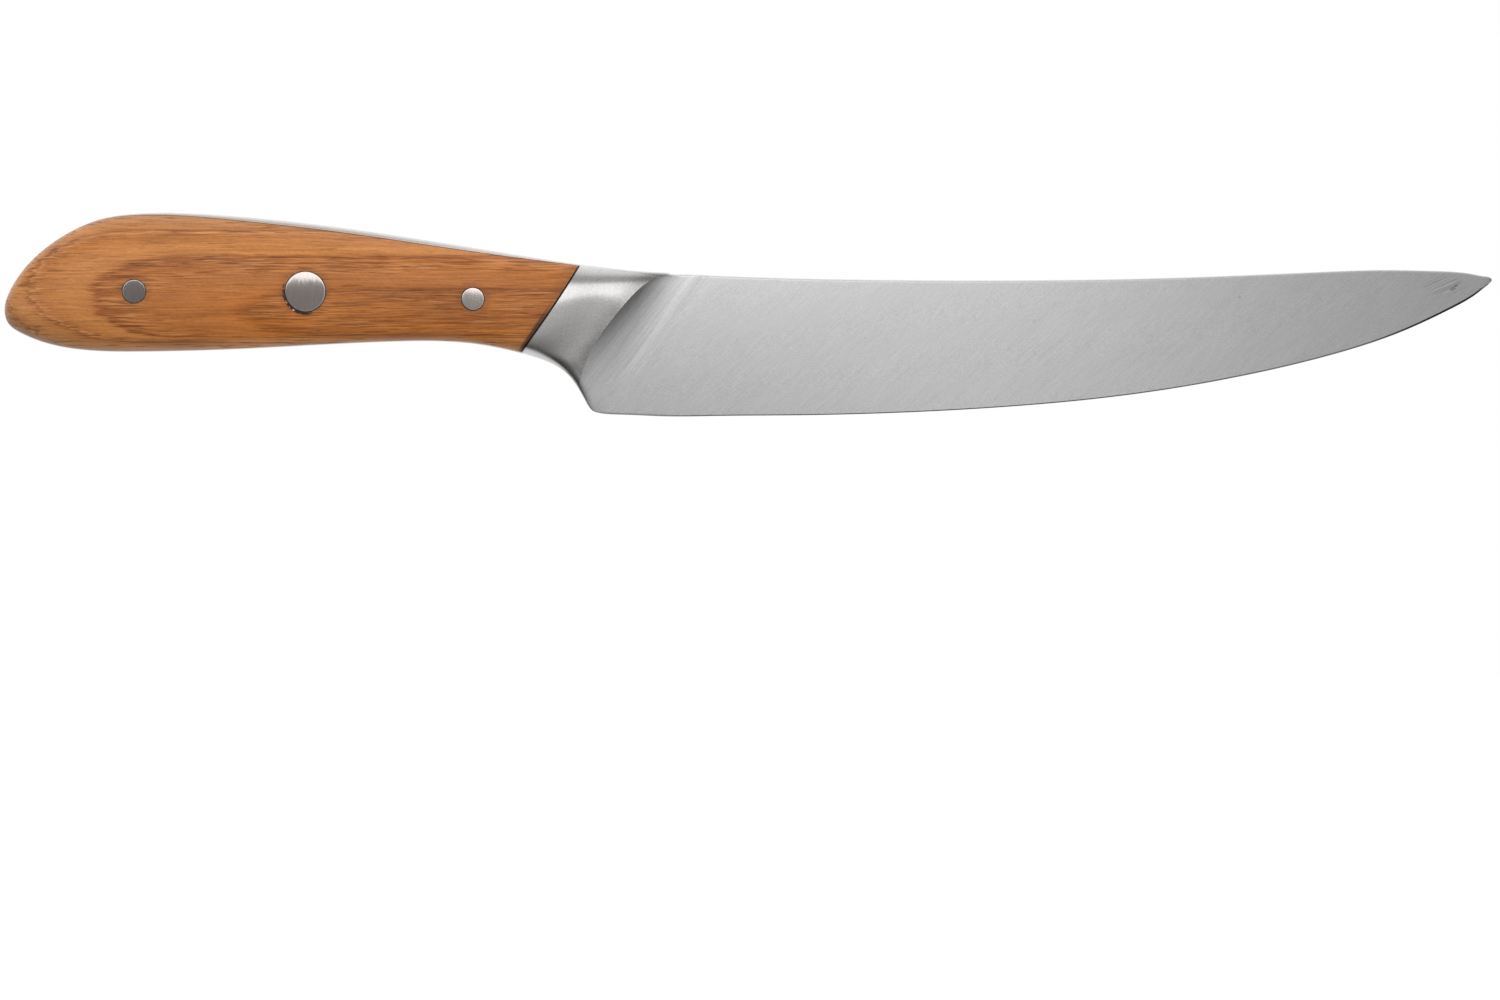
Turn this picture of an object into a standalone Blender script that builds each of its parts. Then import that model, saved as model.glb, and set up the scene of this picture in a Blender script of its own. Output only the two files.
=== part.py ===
"""Full-tang kitchen knife: forged blade with integral bolster, riveted wooden scales.

Frame: +X from the butt to the tip, +Z from the cutting edge to the spine, Y across the thickness.
The right side is -Y, the left side +Y.  The outside is symmetric about Y = 0; of each rivet the
male half enters from the right and the female half from the left.
Lengths in the constants are millimetres; meshes are in metres.

How the shape is made
  Two splines, the back line and the belly line, give the knife's outline in the XZ plane.
  A family of station curves runs from the back line down to the belly line.  Their foot points
  lean, so that one station lies on the slanted joint between wood and bolster, and one on the
  crease where the blade's grind runs out into the bolster.  At the butt the stations fan round.
  Every station carries a half section: rows of (tau, y), where tau is the place along the
  station, 0 at the back and 1 at the belly, and y is the half thickness there.
"""
import bpy
import bmesh
import math
from bisect import bisect_right
from collections import namedtuple
from mathutils import Matrix, Vector
from mathutils.bvhtree import BVHTree

MM = 0.001
SIDES = (("right", -1), ("left", 1))    # name and sign of Y

# ------------------------------------------------------------------ outline (x, z)
BUTT = (-166.0, 1.2)                    # rearmost point of the handle
TIP = (166.0, 7.7)                      # point of the blade
BACK_LINE = (
    BUTT, (-165.2, 4.4), (-162.6, 8.9), (-158.1, 13.8), (-152.0, 18.1), (-144.7, 21.35),
    (-138.0, 22.5), (-131.0, 22.8), (-118.0, 22.25), (-100.0, 20.55), (-77.8, 17.55),
    (-55.4, 14.0), (-37.5, 11.3), (-24.0, 9.75), (-8.0, 8.7), (18.0, 7.9), (56.0, 7.6),
    (95.0, 8.2), (128.0, 9.5), (142.0, 9.92), (153.0, 9.7), (161.0, 9.1), (164.4, 8.5),
    (165.6, 8.2), TIP)
BELLY_LINE = (
    BUTT, (-165.2, -2.0), (-162.5, -4.1), (-156.3, -6.55), (-149.0, -7.9), (-136.0, -8.35),
    (-118.0, -7.95), (-96.0, -6.85), (-79.0, -6.1), (-70.0, -6.0), (-60.0, -6.75),
    (-51.0, -8.6), (-45.6, -10.25), (-41.8, -12.2), (-39.3, -14.6), (-37.4, -17.5),
    (-36.0, -20.0), (-34.8, -21.5), (-33.2, -22.05), (-28.0, -22.42), (-18.8, -22.78),
    (-8.0, -22.7), (10.0, -22.55), (30.0, -22.1), (56.2, -20.75), (84.0, -18.1),
    (112.0, -13.4), (130.0, -9.1), (145.4, -4.05), (156.6, 1.1), (162.2, 4.3),
    (165.3, 6.75), TIP)
MIN_LEAN_SINE = 0.45                    # least sine allowed between a station and the outline

# ------------------------------------------------------------------ handle
TANG_HALF = 1.90                        # half thickness of the tang
BED = 0.17                              # thickness of the adhesive bed
PLAY = 0.03                             # gap between touching flat faces
BED_IN = TANG_HALF + PLAY               # inner face of a bed, from the middle plane
BED_OUT = TANG_HALF + PLAY + BED        # outer face of a bed
WOOD_IN = TANG_HALF + BED + 2 * PLAY    # inner face of a scale
BED_CUT = BED_OUT + 0.02                # half thickness at which the oval gives a bed's outline
BED_SHRINK = 0.992                      # height of a bed against that outline
BUTT_INSET = 8.0                        # how far in from the butt the mid line of the swell starts
INSET_SHARE = 0.17                      # share of the handle over which that inset dies out
FAN_SHARE = 0.13                        # share of the stations that fan round the butt
LEAN_START, LEAN_POWER = 0.45, 1.3      # share of the handle where leaning starts, and its growth

# swell of the handle along the mid line: (x, half thickness)
SWELL = ((-158.0, 8.0), (-152.0, 9.4), (-142.0, 10.2), (-128.0, 10.4), (-110.0, 9.6),
         (-90.0, 8.4), (-72.0, 7.6), (-58.0, 7.15), (-44.0, 6.9))
# height of the tang's crown: (x, at the back, at the belly)
CROWN = ((-166.0, 0.16, 0.16), (-150.0, 0.22, 0.15), (-139.0, 0.40, 0.15),
         (-126.0, 0.62, 0.15), (-104.0, 0.92, 0.15), (-75.0, 0.94, 0.16),
         (-55.0, 0.70, 0.20), (-38.0, 0.42, 0.30))
# fullness of the oval's quarters, 0.55 an ellipse, 1 a box: (x, at the back, at the belly)
FULL = ((-166.0, 0.70, 0.70), (-146.0, 0.66, 0.72), (-100.0, 0.66, 0.74), (-38.0, 0.58, 0.80))
# first handle of the oval's Bezier quarter, next to the tang
OVAL_RISE = 0.62                        # its rise, as a share of the swell outside the tang
OVAL_INSET = 0.8                        # share of the crown's slope it follows inwards
OVAL_INSET_MAX = 0.45                   # its greatest inset, as a share of the quarter's width

# ------------------------------------------------------------------ bolster and grind
JOINT_BACK, JOINT_BELLY = -37.2, -50.6  # where the wood-to-bolster joint meets the outline, x
JOINT_BOW = 0.45                        # how far the joint bellies out towards the blade
LIP = 0.42                              # gap along x from scale to joint, filled by the lip
LIP_GAP = 0.04                          # gap along x between the adhesive lip and the joint
LIP_DEPTH = 0.12                        # how far the lip stays below the handle's surface
FALL_EASE = 0.55                        # how the bolster narrows: 0 straight, 1 eased at both ends
# crease where the grind runs out, from the back down to the belly (x, z)
CREASE = ((-17.0, 9.24), (-19.8, 8.42), (-22.5, 7.05), (-25.5, 4.50), (-28.5, 1.10),
          (-31.3, -2.45), (-33.4, -5.40), (-35.0, -8.10), (-36.1, -10.60), (-37.0, -13.20),
          (-37.6, -15.2), (-38.0, -16.55))
CREASE_FADE = 0.8                       # power by which stations lose the crease's curve
GRIND_BACK, GRIND_BELLY = -12.5, -31.0  # where the grind's hollow has run out, x
GRIND_STEP = 3.1                        # depth of the hollow at the crease
GRIND_FALL = 2.5                        # how the hollow runs out: 2 a parabola, more is steeper
STEP_ROUND = 0.34, 0.15                 # shares of the crease that round over, back and belly
STEP_LOW = 0.40                         # share of the hollow lost at the crease's belly end
STEP_LOW_SPAN = 0.45, 0.9               # part of the crease, as tau, over which it is lost
BLADE_FLAT_X = 44.0                     # stations are upright from here on

# ------------------------------------------------------------------ blade
# (x, half thickness at the spine)
SPINE = ((-38.0, 1.50), (-10.0, 1.36), (40.0, 1.10), (90.0, 0.90), (130.0, 0.70),
         (152.0, 0.52), (166.0, 0.34))
EDGE_HALF = 0.20                        # half thickness just behind the cutting bevel
# how convex the flanks are: (x, exponent), 1 is flat
FLANK = ((-30.0, 1.55), (0.0, 1.45), (40.0, 1.10), (166.0, 1.0))
# height of the cutting bevel: (x, height)
BEVEL = ((-30.0, 0.20), (40.0, 0.24), (100.0, 0.34), (140.0, 0.52), (158.0, 0.62),
         (166.0, 0.60))
BEVEL_START, BEVEL_FULL = -27.0, -10.0  # the bevel fades in between these, x
FOOT_ROUND = 0.30                       # depth of the rounded foot where there is no bevel
SPINE_ROUND = 0.42                      # depth of the spine's rounding
FLANK_BACK_X, FLANK_BELLY_X = -60.0, -30.0  # the flank's height is read no further back, x
TIP_GAP = 0.01                          # nor nearer the tip than this
MIN_FLANK = 0.4                         # least flank height reckoned with
ROUND_WIDTH = 3.0                       # roundings shrink where the blade is narrower than this
THIN_WIDTH = 1.2                        # flanks thin out where the blade is narrower than this
TIP_CROWD, TIP_POWER = 0.10, 1.15       # how the stations are spread along the blade

# ------------------------------------------------------------------ rivets
Rivet = namedtuple("Rivet", "name x z head sleeve shank")   # the last three are radii
RIVETS = (Rivet("rivet_rear", -136.65, 4.98, 2.60, 1.60, 1.05),
          Rivet("rivet_middle", -98.55, 4.94, 4.48, 2.60, 1.75),
          Rivet("rivet_front", -61.3, 3.32, 2.52, 1.60, 1.05))
HEAD_SEAT = 4.9                         # underside of a head, from the middle plane
HEAD_RINGS = (0.0, 0.55, 1.0)           # rings of a head's outer face, as shares of its radius
HOLE_PLAY = 0.08                        # radial play of a rivet in its hole
SLEEVE_PLAY = 0.08                      # radial play of a shank in its sleeve
SEAT_PLAY = 0.05                        # play below a head
SHANK_END = 3.7                         # y of the shank's far end
SHANK_CHAMFER = 0.3
SLEEVE_SHORT = 0.35                     # how far the sleeve stops short of the male head
SLEEVE_FLOOR = 4.1                      # y of the closed end of the sleeve's bore
RIVET_SIDES = 32

# reach of the cutters, from the middle plane
CUT_NEAR = 1.0                          # start of the sleeve holes in scales and beds
HEAD_CUT_FAR = 20.0
WOOD_CUT_FAR = 8.0
BED_CUT_FAR = 5.0
TANG_CUT = 6.0                          # to both sides

# ------------------------------------------------------------------ fineness
N_CROWN = 2                             # rows over the tang's crown
N_SIDE = 5                              # rows from the crown to the mid line
N_HANDLE = 20                           # stations from the butt to the joint
N_BOLSTER = 7
N_GRIND = 5
N_BLADE = 26
WELD = 2e-6                             # metres
SHARP_DEGREES = 32.0
HALVINGS = 48                           # steps of a search along a spline
OVAL_HALVINGS = 40                      # steps of a search along the oval


# ================================================================== splines and tables
def hermite(start, end, start_rise, end_rise, t):
    """Cubic from start to end; the rises are the end slopes times the interval's length."""
    return (start * (2 * t ** 3 - 3 * t * t + 1) + start_rise * (t ** 3 - 2 * t * t + t)
            + end * (3 * t * t - 2 * t ** 3) + end_rise * (t ** 3 - t * t))


class Spline:
    """Cubic spline through 2-D points, by chord length.

    An end is natural unless a direction is given for it."""

    def __init__(self, points, start=None, end=None):
        self.points = points
        self.lengths = [0.0]
        for a, b in zip(points, points[1:]):
            self.lengths.append(self.lengths[-1] + math.hypot(b[0] - a[0], b[1] - a[1]))
        self.slopes = [self._slopes([p[axis] for p in points], start and start[axis],
                                    end and end[axis]) for axis in (0, 1)]

    def _slopes(self, values, start, end):
        """First derivatives at the knots, from the tridiagonal system of a C2 cubic."""
        n = len(values)
        gap = [b - a for a, b in zip(self.lengths, self.lengths[1:])]
        lower, diagonal, upper, right = [0.0] * n, [1.0] * n, [0.0] * n, [0.0] * n
        for i in range(1, n - 1):
            lower[i], diagonal[i], upper[i] = gap[i], 2 * (gap[i - 1] + gap[i]), gap[i - 1]
            right[i] = 3 * (gap[i] * (values[i] - values[i - 1]) / gap[i - 1]
                            + gap[i - 1] * (values[i + 1] - values[i]) / gap[i])
        if start is None:
            diagonal[0], upper[0] = 2.0, 1.0
            right[0] = 3 * (values[1] - values[0]) / gap[0]
        else:
            right[0] = start
        if end is None:
            lower[-1], diagonal[-1] = 1.0, 2.0
            right[-1] = 3 * (values[-1] - values[-2]) / gap[-1]
        else:
            right[-1] = end
        for i in range(1, n):
            factor = lower[i] / diagonal[i - 1]
            diagonal[i] -= factor * upper[i - 1]
            right[i] -= factor * right[i - 1]
        slopes = [0.0] * n
        slopes[-1] = right[-1] / diagonal[-1]
        for i in range(n - 2, -1, -1):
            slopes[i] = (right[i] - upper[i] * slopes[i + 1]) / diagonal[i]
        return slopes

    def at(self, length):
        i = min(max(bisect_right(self.lengths, length) - 1, 0), len(self.lengths) - 2)
        gap = self.lengths[i + 1] - self.lengths[i]
        t = min(max((length - self.lengths[i]) / gap, 0.0), 1.0)
        return [hermite(self.points[i][axis], self.points[i + 1][axis],
                        self.slopes[axis][i] * gap, self.slopes[axis][i + 1] * gap, t)
                for axis in (0, 1)]

    def find(self, value, axis=0):
        """Chord length where x (axis 0) or z (axis 1) is value; it must be monotone."""
        rising = self.points[-1][axis] > self.points[0][axis]
        low, high = 0.0, self.lengths[-1]
        for _ in range(HALVINGS):
            middle = 0.5 * (low + high)
            if (self.at(middle)[axis] < value) == rising:
                low = middle
            else:
                high = middle
        return 0.5 * (low + high)

    def at_coord(self, value, axis=0):
        return self.at(self.find(value, axis))

    def tangent(self, x):
        """Unit tangent near the point with this x."""
        length, step = self.find(x), self.lengths[-1] * 1e-4
        a, b = self.at(max(length - step, 0.0)), self.at(min(length + step, self.lengths[-1]))
        size = math.hypot(b[0] - a[0], b[1] - a[1]) or 1.0
        return (b[0] - a[0]) / size, (b[1] - a[1]) / size


def table(rows, x, column=1):
    """Smooth look-up in a table of design values: monotone cubic between rows."""
    if x <= rows[0][0]:
        return rows[0][column]
    if x >= rows[-1][0]:
        return rows[-1][column]
    i = bisect_right([row[0] for row in rows], x) - 1

    def slope(j):
        if j == 0 or j == len(rows) - 1:
            return 0.0
        a = (rows[j][column] - rows[j - 1][column]) / (rows[j][0] - rows[j - 1][0])
        b = (rows[j + 1][column] - rows[j][column]) / (rows[j + 1][0] - rows[j][0])
        return 0.0 if a * b <= 0 else 2 * a * b / (a + b)

    gap = rows[i + 1][0] - rows[i][0]
    return hermite(rows[i][column], rows[i + 1][column], slope(i) * gap, slope(i + 1) * gap,
                   (x - rows[i][0]) / gap)


def ease(start, end, x):
    """Smooth step from 0 at start to 1 at end."""
    t = min(max((x - start) / (end - start), 0.0), 1.0)
    return t * t * (3 - 2 * t)


# back and belly line leave the butt and reach the tip upright
back = Spline(BACK_LINE, start=(0.0, 1.0), end=(0.0, -1.0))
belly = Spline(BELLY_LINE, start=(0.0, -1.0), end=(0.0, 1.0))
crease = Spline(CREASE)


# ================================================================== stations
class Station:
    """A curve in the XZ plane from the back line (tau 0) to the belly line (tau 1).

    shift(tau) is how far it leaves its chord along x."""

    def __init__(self, back_x, belly_x, shift):
        self.back = back.at_coord(back_x) if back_x > BUTT[0] + 1e-9 else list(BUTT)
        self.belly = belly.at_coord(belly_x) if belly_x > BUTT[0] + 1e-9 else list(BUTT)
        if back_x >= TIP[0] - 1e-9:
            self.back, self.belly = list(TIP), list(TIP)
        self.shift = shift
        self.mid = self.at(0.5)
        # widths from the outline to the middle, square to the outline
        self.back_width = self._width(self.back, back.tangent(back_x), 0.02)
        self.belly_width = self._width(self.belly, belly.tangent(belly_x), 0.98)

    def _width(self, foot, tangent, tau):
        """Distance to the middle times the sine between station and outline, read at tau."""
        near = self.at(tau)
        dx, dz = near[0] - foot[0], near[1] - foot[1]
        size = math.hypot(dx, dz)
        sine = 1.0
        if size >= 1e-6:
            sine = max(abs(dx * tangent[1] - dz * tangent[0]) / size, MIN_LEAN_SINE)
        return math.hypot(self.mid[0] - foot[0], self.mid[1] - foot[1]) * sine

    def at(self, tau):
        return [self.back[0] + (self.belly[0] - self.back[0]) * tau + self.shift(tau),
                self.back[1] + (self.belly[1] - self.back[1]) * tau]

    def back_tau(self, inset):
        return 0.5 * min(inset / max(self.back_width, 1e-6), 1.0)

    def belly_tau(self, inset):
        return 1.0 - 0.5 * min(inset / max(self.belly_width, 1e-6), 1.0)


def tent(tau):
    return 1.0 - abs(2 * tau - 1)


def bow(tau):
    return 4 * tau * (1 - tau)


def crease_shift(tau):
    """How far the crease leaves its own chord, at a fraction of its height."""
    (back_x, back_z), (belly_x, belly_z) = CREASE[0], CREASE[-1]
    x = crease.at_coord(back_z + (belly_z - back_z) * tau, axis=1)[0]
    return x - (back_x + (belly_x - back_x) * tau)


def handle_station(f, end_shift=0.0):
    """f runs from 0 at the butt to 1 at the joint, less end_shift along x."""
    end_back, end_belly = JOINT_BACK - end_shift, JOINT_BELLY - end_shift
    # quadratic start gives even steps along the rounded outline
    if f < FAN_SHARE:
        lead = FAN_SHARE * (f / FAN_SHARE) ** 2 * 0.5
    else:
        lead = f - FAN_SHARE * 0.5
    lead /= (1 - FAN_SHARE * 0.5)
    back_x = BUTT[0] + (end_back - BUTT[0]) * lead
    lean = ease(LEAN_START, 1.0, lead) ** LEAN_POWER
    belly_x = back_x - (end_back - end_belly) * lean
    inset = BUTT_INSET * (1 - min(lead / INSET_SHARE, 1.0)) ** 2
    return Station(back_x, belly_x,
                   lambda tau: inset * tent(tau) + JOINT_BOW * lean * bow(tau))


def bolster_station(f):
    """f from 0 at the joint to 1 at the crease."""
    return Station(JOINT_BACK + (CREASE[0][0] - JOINT_BACK) * f,
                   JOINT_BELLY + (CREASE[-1][0] - JOINT_BELLY) * f,
                   lambda tau: JOINT_BOW * bow(tau) * (1 - f) + crease_shift(tau) * f)


def grind_station(f):
    """f from 0 at the crease to 1 where its hollow has run out."""
    return Station(CREASE[0][0] + (GRIND_BACK - CREASE[0][0]) * f,
                   CREASE[-1][0] + (GRIND_BELLY - CREASE[-1][0]) * f,
                   lambda tau: crease_shift(tau) * (1 - f) ** CREASE_FADE)


def blade_station(f):
    """f from 0 at the end of the grind to 1 at the tip."""
    spread = f * (1.0 + TIP_CROWD * (1 - f))
    spread = 1 - (1 - spread) ** TIP_POWER
    back_x = GRIND_BACK + (TIP[0] - GRIND_BACK) * spread
    lean = (GRIND_BACK - GRIND_BELLY) * (1 - ease(GRIND_BACK, BLADE_FLAT_X, back_x))
    return Station(back_x, back_x - lean, lambda tau: 0.0)


# ================================================================== half sections
def bezier(controls, t):
    u = 1 - t
    return [u ** 3 * a + 3 * u * u * t * b + 3 * u * t * t * c + t ** 3 * d
            for a, b, c, d in zip(*controls)]


def oval_quarter(station, width, x, column):
    """Bezier controls (inset from the outline, half thickness), from the crown to the middle.

    column picks the back or the belly in the tables."""
    swell = table(SWELL, station.mid[0])
    crown, full = table(CROWN, x, column), table(FULL, x, column)
    slope = 2 * crown / TANG_HALF
    rise = (swell - TANG_HALF) * OVAL_RISE
    inset = min(crown + slope * rise * OVAL_INSET, width * OVAL_INSET_MAX)
    return ((crown, TANG_HALF), (inset, TANG_HALF + rise),
            (width - full * (width - crown), swell), (width, swell))


def oval_parameter(controls, y):
    """Parameter at which a quarter reaches the half thickness y."""
    low, high = 0.0, 1.0
    for _ in range(OVAL_HALVINGS):
        middle = 0.5 * (low + high)
        if bezier(controls, middle)[1] < y:
            low = middle
        else:
            high = middle
    return high


def handle_half(station, start=None):
    """Rows of the oval, back to belly. With start, only the part outside y = start."""
    parts = []
    for width, x, column, tau in (
            (station.back_width, station.back[0], 1, station.back_tau),
            (station.belly_width, station.belly[0], 2, station.belly_tau)):
        controls = oval_quarter(station, width, x, column)
        rows = []
        first = 0.0
        if start is not None:
            first = oval_parameter(controls, start)
        else:
            for j in range(N_CROWN):
                q = j / N_CROWN
                rows.append((tau(controls[0][0] * q * q), TANG_HALF * q))
        for j in range(N_SIDE + 1):
            inset, y = bezier(controls, first + (1 - first) * j / N_SIDE)
            rows.append((tau(inset), y))
        parts.append(rows)
    return parts[0] + parts[1][-2::-1]


def tang_half(station):
    """Rows of the tang inside the handle: the oval's crown, then flat sides."""
    return [(tau, min(y, TANG_HALF)) for tau, y in handle_half(station)]


def flank_half(x, z):
    """Half thickness of the blade at a point of its side, without the hollow."""
    last_x = TIP[0] - TIP_GAP
    spine_z = back.at_coord(min(max(x, FLANK_BACK_X), last_x))[1]
    edge_z = belly.at_coord(min(max(x, FLANK_BELLY_X), last_x))[1]
    height = min(max((z - edge_z) / max(spine_z - edge_z, MIN_FLANK), 0.0), 1.0)
    return EDGE_HALF + (table(SPINE, x) - EDGE_HALF) * (1 - (1 - height) ** table(FLANK, x))


def hollow_depth(tau):
    """Depth of the grind's hollow along the crease."""
    u = min(max(tau / STEP_ROUND[0], 0.0), 1.0)
    v = min(max((1 - tau) / STEP_ROUND[1], 0.0), 1.0)
    return (GRIND_STEP * math.sqrt(u * (2 - u) * v * (2 - v))
            * (1 - STEP_LOW * ease(*STEP_LOW_SPAN, tau)))


def blade_half(station, hollow=0.0):
    """Rows: rounded spine, flank with what is left of the hollow (0 to 1), then the foot."""
    width = station.back_width + station.belly_width
    small = min(1.0, width / ROUND_WIDTH)
    thin = min(1.0, math.sqrt(width / THIN_WIDTH))
    belly_x = station.belly[0]
    bevel = ease(BEVEL_START, BEVEL_FULL, belly_x)
    spine_depth = SPINE_ROUND * small
    foot_depth = (FOOT_ROUND * (1 - bevel) + table(BEVEL, belly_x) * bevel) * small
    first, last = station.back_tau(spine_depth), station.belly_tau(foot_depth)

    def flank(tau):
        return thin * flank_half(*station.at(tau)) + hollow * hollow_depth(tau)

    rows = []
    spine_y, foot_y = flank(first), flank(last)
    for j in range(N_CROWN):
        angle = 0.5 * math.pi * j / N_CROWN
        rows.append((station.back_tau(spine_depth * (1 - math.cos(angle))),
                     spine_y * math.sin(angle)))
    n = 2 * N_SIDE
    for j in range(n + 1):
        share = 0.5 * j / n + 0.25 * (1 - math.cos(math.pi * j / n))
        tau = first + (last - first) * share
        rows.append((tau, flank(tau)))
    # the foot turns from a rounding into the flat cutting bevel
    for j in range(N_CROWN - 1, -1, -1):
        q = j / N_CROWN
        round_y = foot_y * math.sin(0.5 * math.pi * q)
        round_inset = foot_depth * (1 - math.cos(0.5 * math.pi * q))
        rows.append((station.belly_tau(round_inset * (1 - bevel) + foot_depth * q * bevel),
                     round_y * (1 - bevel) + foot_y * q * bevel))
    return rows


# ================================================================== mesh helpers
def place(station, rows, sign):
    """Rows of a station as 3-D points in metres."""
    points = []
    for tau, y in rows:
        x, z = station.at(tau)
        points.append(Vector((x * MM, sign * y * MM, z * MM)))
    return points


def material(name, color, metallic, roughness):
    mat = bpy.data.materials.new(name)
    mat.use_nodes = True
    inputs = mat.node_tree.nodes["Principled BSDF"].inputs
    inputs["Base Color"].default_value = (*color, 1.0)
    inputs["Metallic"].default_value = metallic
    inputs["Roughness"].default_value = roughness
    mat.diffuse_color = (*color, 1.0)
    return mat


def link_mesh(bm, name):
    """Turn a bmesh into a linked object."""
    mesh = bpy.data.meshes.new(name)
    bm.to_mesh(mesh)
    bm.free()
    ob = bpy.data.objects.new(name, mesh)
    bpy.context.collection.objects.link(ob)
    return ob


def finish(bm, name, mat):
    """Weld, drop collapsed faces, face outwards, shade smooth and link."""
    bmesh.ops.remove_doubles(bm, verts=bm.verts, dist=WELD)
    bmesh.ops.dissolve_degenerate(bm, edges=bm.edges, dist=WELD * 0.5)
    bmesh.ops.recalc_face_normals(bm, faces=bm.faces)
    if bm.calc_volume(signed=True) < 0:
        bmesh.ops.reverse_faces(bm, faces=bm.faces)
    ob = link_mesh(bm, name)
    ob.data.shade_smooth()
    ob.data.set_sharp_from_angle(angle=math.radians(SHARP_DEGREES))
    ob.data.materials.append(mat)
    return ob


def loft(bm, rings, closed=True):
    """Quads between neighbouring rings of equal length; returns the last ring's vertices."""
    verts = [[bm.verts.new(point) for point in ring] for ring in rings]
    n = len(verts[0])
    for a, b in zip(verts, verts[1:]):
        for j in range(n if closed else n - 1):
            k = (j + 1) % n
            bm.faces.new((a[j], a[k], b[k], b[j]))
    return verts[-1]


def slab_ring(station, outer, inner_y, sign):
    """Ring of the outer rows and, under them, a flat inner face."""
    inner = [(tau, inner_y) for tau, _ in outer][-2:0:-1]
    return place(station, outer + inner, sign)


def slab(rings, name, mat):
    """Loft of slab rings, its last ring closed by a ladder from outer to inner rows."""
    bm = bmesh.new()
    last = loft(bm, rings)
    n = len(last)
    end = n // 2                        # last outer row
    bm.faces.new((last[0], last[1], last[n - 1]))
    for j in range(1, end - 1):
        bm.faces.new((last[j], last[j + 1], last[n - j - 1], last[n - j]))
    bm.faces.new((last[end - 1], last[end], last[end + 1]))
    return finish(bm, name, mat)


def cut_hole(ob, name, rivet, radius, y_a, y_b):
    """Cut a round hole along Y at a rivet, with a hidden guide cylinder."""
    y0, y1 = sorted((y_a, y_b))
    bm = bmesh.new()
    bmesh.ops.create_cone(bm, cap_ends=True, segments=RIVET_SIDES, radius1=radius * MM,
                          radius2=radius * MM, depth=(y1 - y0) * MM)
    bmesh.ops.rotate(bm, verts=bm.verts, matrix=Matrix.Rotation(math.pi / 2, 3, "X"))
    bmesh.ops.translate(bm, verts=bm.verts, vec=Vector((rivet.x, 0.5 * (y0 + y1), rivet.z)) * MM)
    cutter = link_mesh(bm, name)
    cutter.hide_render = True
    cutter.display_type = "WIRE"
    modifier = ob.modifiers.new(name, "BOOLEAN")
    modifier.operation = "DIFFERENCE"
    modifier.solver = "EXACT"
    modifier.object = cutter


# ================================================================== pieces
def build_blade(mat):
    """Blade, bolster and tang in one forging."""
    profile = []                        # (station, half section) from butt to tip
    for i in range(N_HANDLE + 1):
        station = handle_station(i / N_HANDLE)
        profile.append((station, tang_half(station)))
    # the bolster starts at the joint again, so its face steps out from the tang there
    joint_rows = handle_half(bolster_station(0.0))
    crease_rows = blade_half(bolster_station(1.0), 1.0)
    for i in range(N_BOLSTER + 1):
        f = i / N_BOLSTER
        fall = (1 - f) * (1 - FALL_EASE) + (1 - ease(0.0, 1.0, f)) * FALL_EASE
        profile.append((bolster_station(f), [(a[0] + (b[0] - a[0]) * f, b[1] + (a[1] - b[1]) * fall)
                                             for a, b in zip(joint_rows, crease_rows)]))
    for i in range(1, N_GRIND + 1):
        f = i / N_GRIND
        station = grind_station(f)
        profile.append((station, blade_half(station, (1 - f) ** GRIND_FALL)))
    for i in range(1, N_BLADE + 1):
        station = blade_station(i / N_BLADE)
        profile.append((station, blade_half(station)))

    bm = bmesh.new()
    for _, sign in SIDES:
        loft(bm, [place(station, rows, sign) for station, rows in profile], closed=False)
    return finish(bm, "forged_blade", mat)


def build_scale(side, sign, mat):
    """Wooden scale; returns its surface before drilling, for the rivet heads."""
    rings = []
    for i in range(N_HANDLE + 1):
        station = handle_station(i / N_HANDLE, LIP)
        rings.append(slab_ring(station, handle_half(station, start=WOOD_IN), WOOD_IN, sign))
    ob = slab(rings, "scale_" + side, mat)
    surface = BVHTree.FromPolygons([v.co.copy() for v in ob.data.vertices],
                                   [tuple(p.vertices) for p in ob.data.polygons])
    for rivet in RIVETS:
        cut_hole(ob, f"bore_{rivet.name}_{side}", rivet, rivet.head + HOLE_PLAY,
                 sign * (HEAD_SEAT - SEAT_PLAY), sign * HEAD_CUT_FAR)
        cut_hole(ob, f"hole_{rivet.name}_{side}", rivet, rivet.sleeve + HOLE_PLAY,
                 sign * CUT_NEAR, sign * WOOD_CUT_FAR)
    return surface


def bed_ring(station, sign, lip=False):
    """Ring of an adhesive bed, or of its lip, which reaches out almost to the surface."""
    outer = [(0.5 + (tau - 0.5) * BED_SHRINK, max(y - LIP_DEPTH, BED_OUT) if lip else BED_OUT)
             for tau, y in handle_half(station, start=BED_CUT)]
    return slab_ring(station, outer, BED_IN, sign)


def build_bed(side, sign, mat):
    """Adhesive bed with its lip at the joint."""
    rings = [bed_ring(handle_station(i / N_HANDLE, LIP), sign) for i in range(N_HANDLE)]
    lip_start = handle_station(1.0, LIP - PLAY)
    rings.append(bed_ring(lip_start, sign))
    rings.append(bed_ring(lip_start, sign, lip=True))
    rings.append(bed_ring(handle_station(1.0, LIP_GAP), sign, lip=True))
    ob = slab(rings, "adhesive_bed_" + side, mat)
    for rivet in RIVETS:
        cut_hole(ob, f"bed_{rivet.name}_{side}", rivet, rivet.sleeve + HOLE_PLAY,
                 sign * CUT_NEAR, sign * BED_CUT_FAR)


def circle(rivet, radius):
    """Points (x, z) round a rivet's axis."""
    angles = [2 * math.pi * k / RIVET_SIDES for k in range(RIVET_SIDES)]
    return [(rivet.x + radius * math.cos(a), rivet.z + radius * math.sin(a)) for a in angles]


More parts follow.
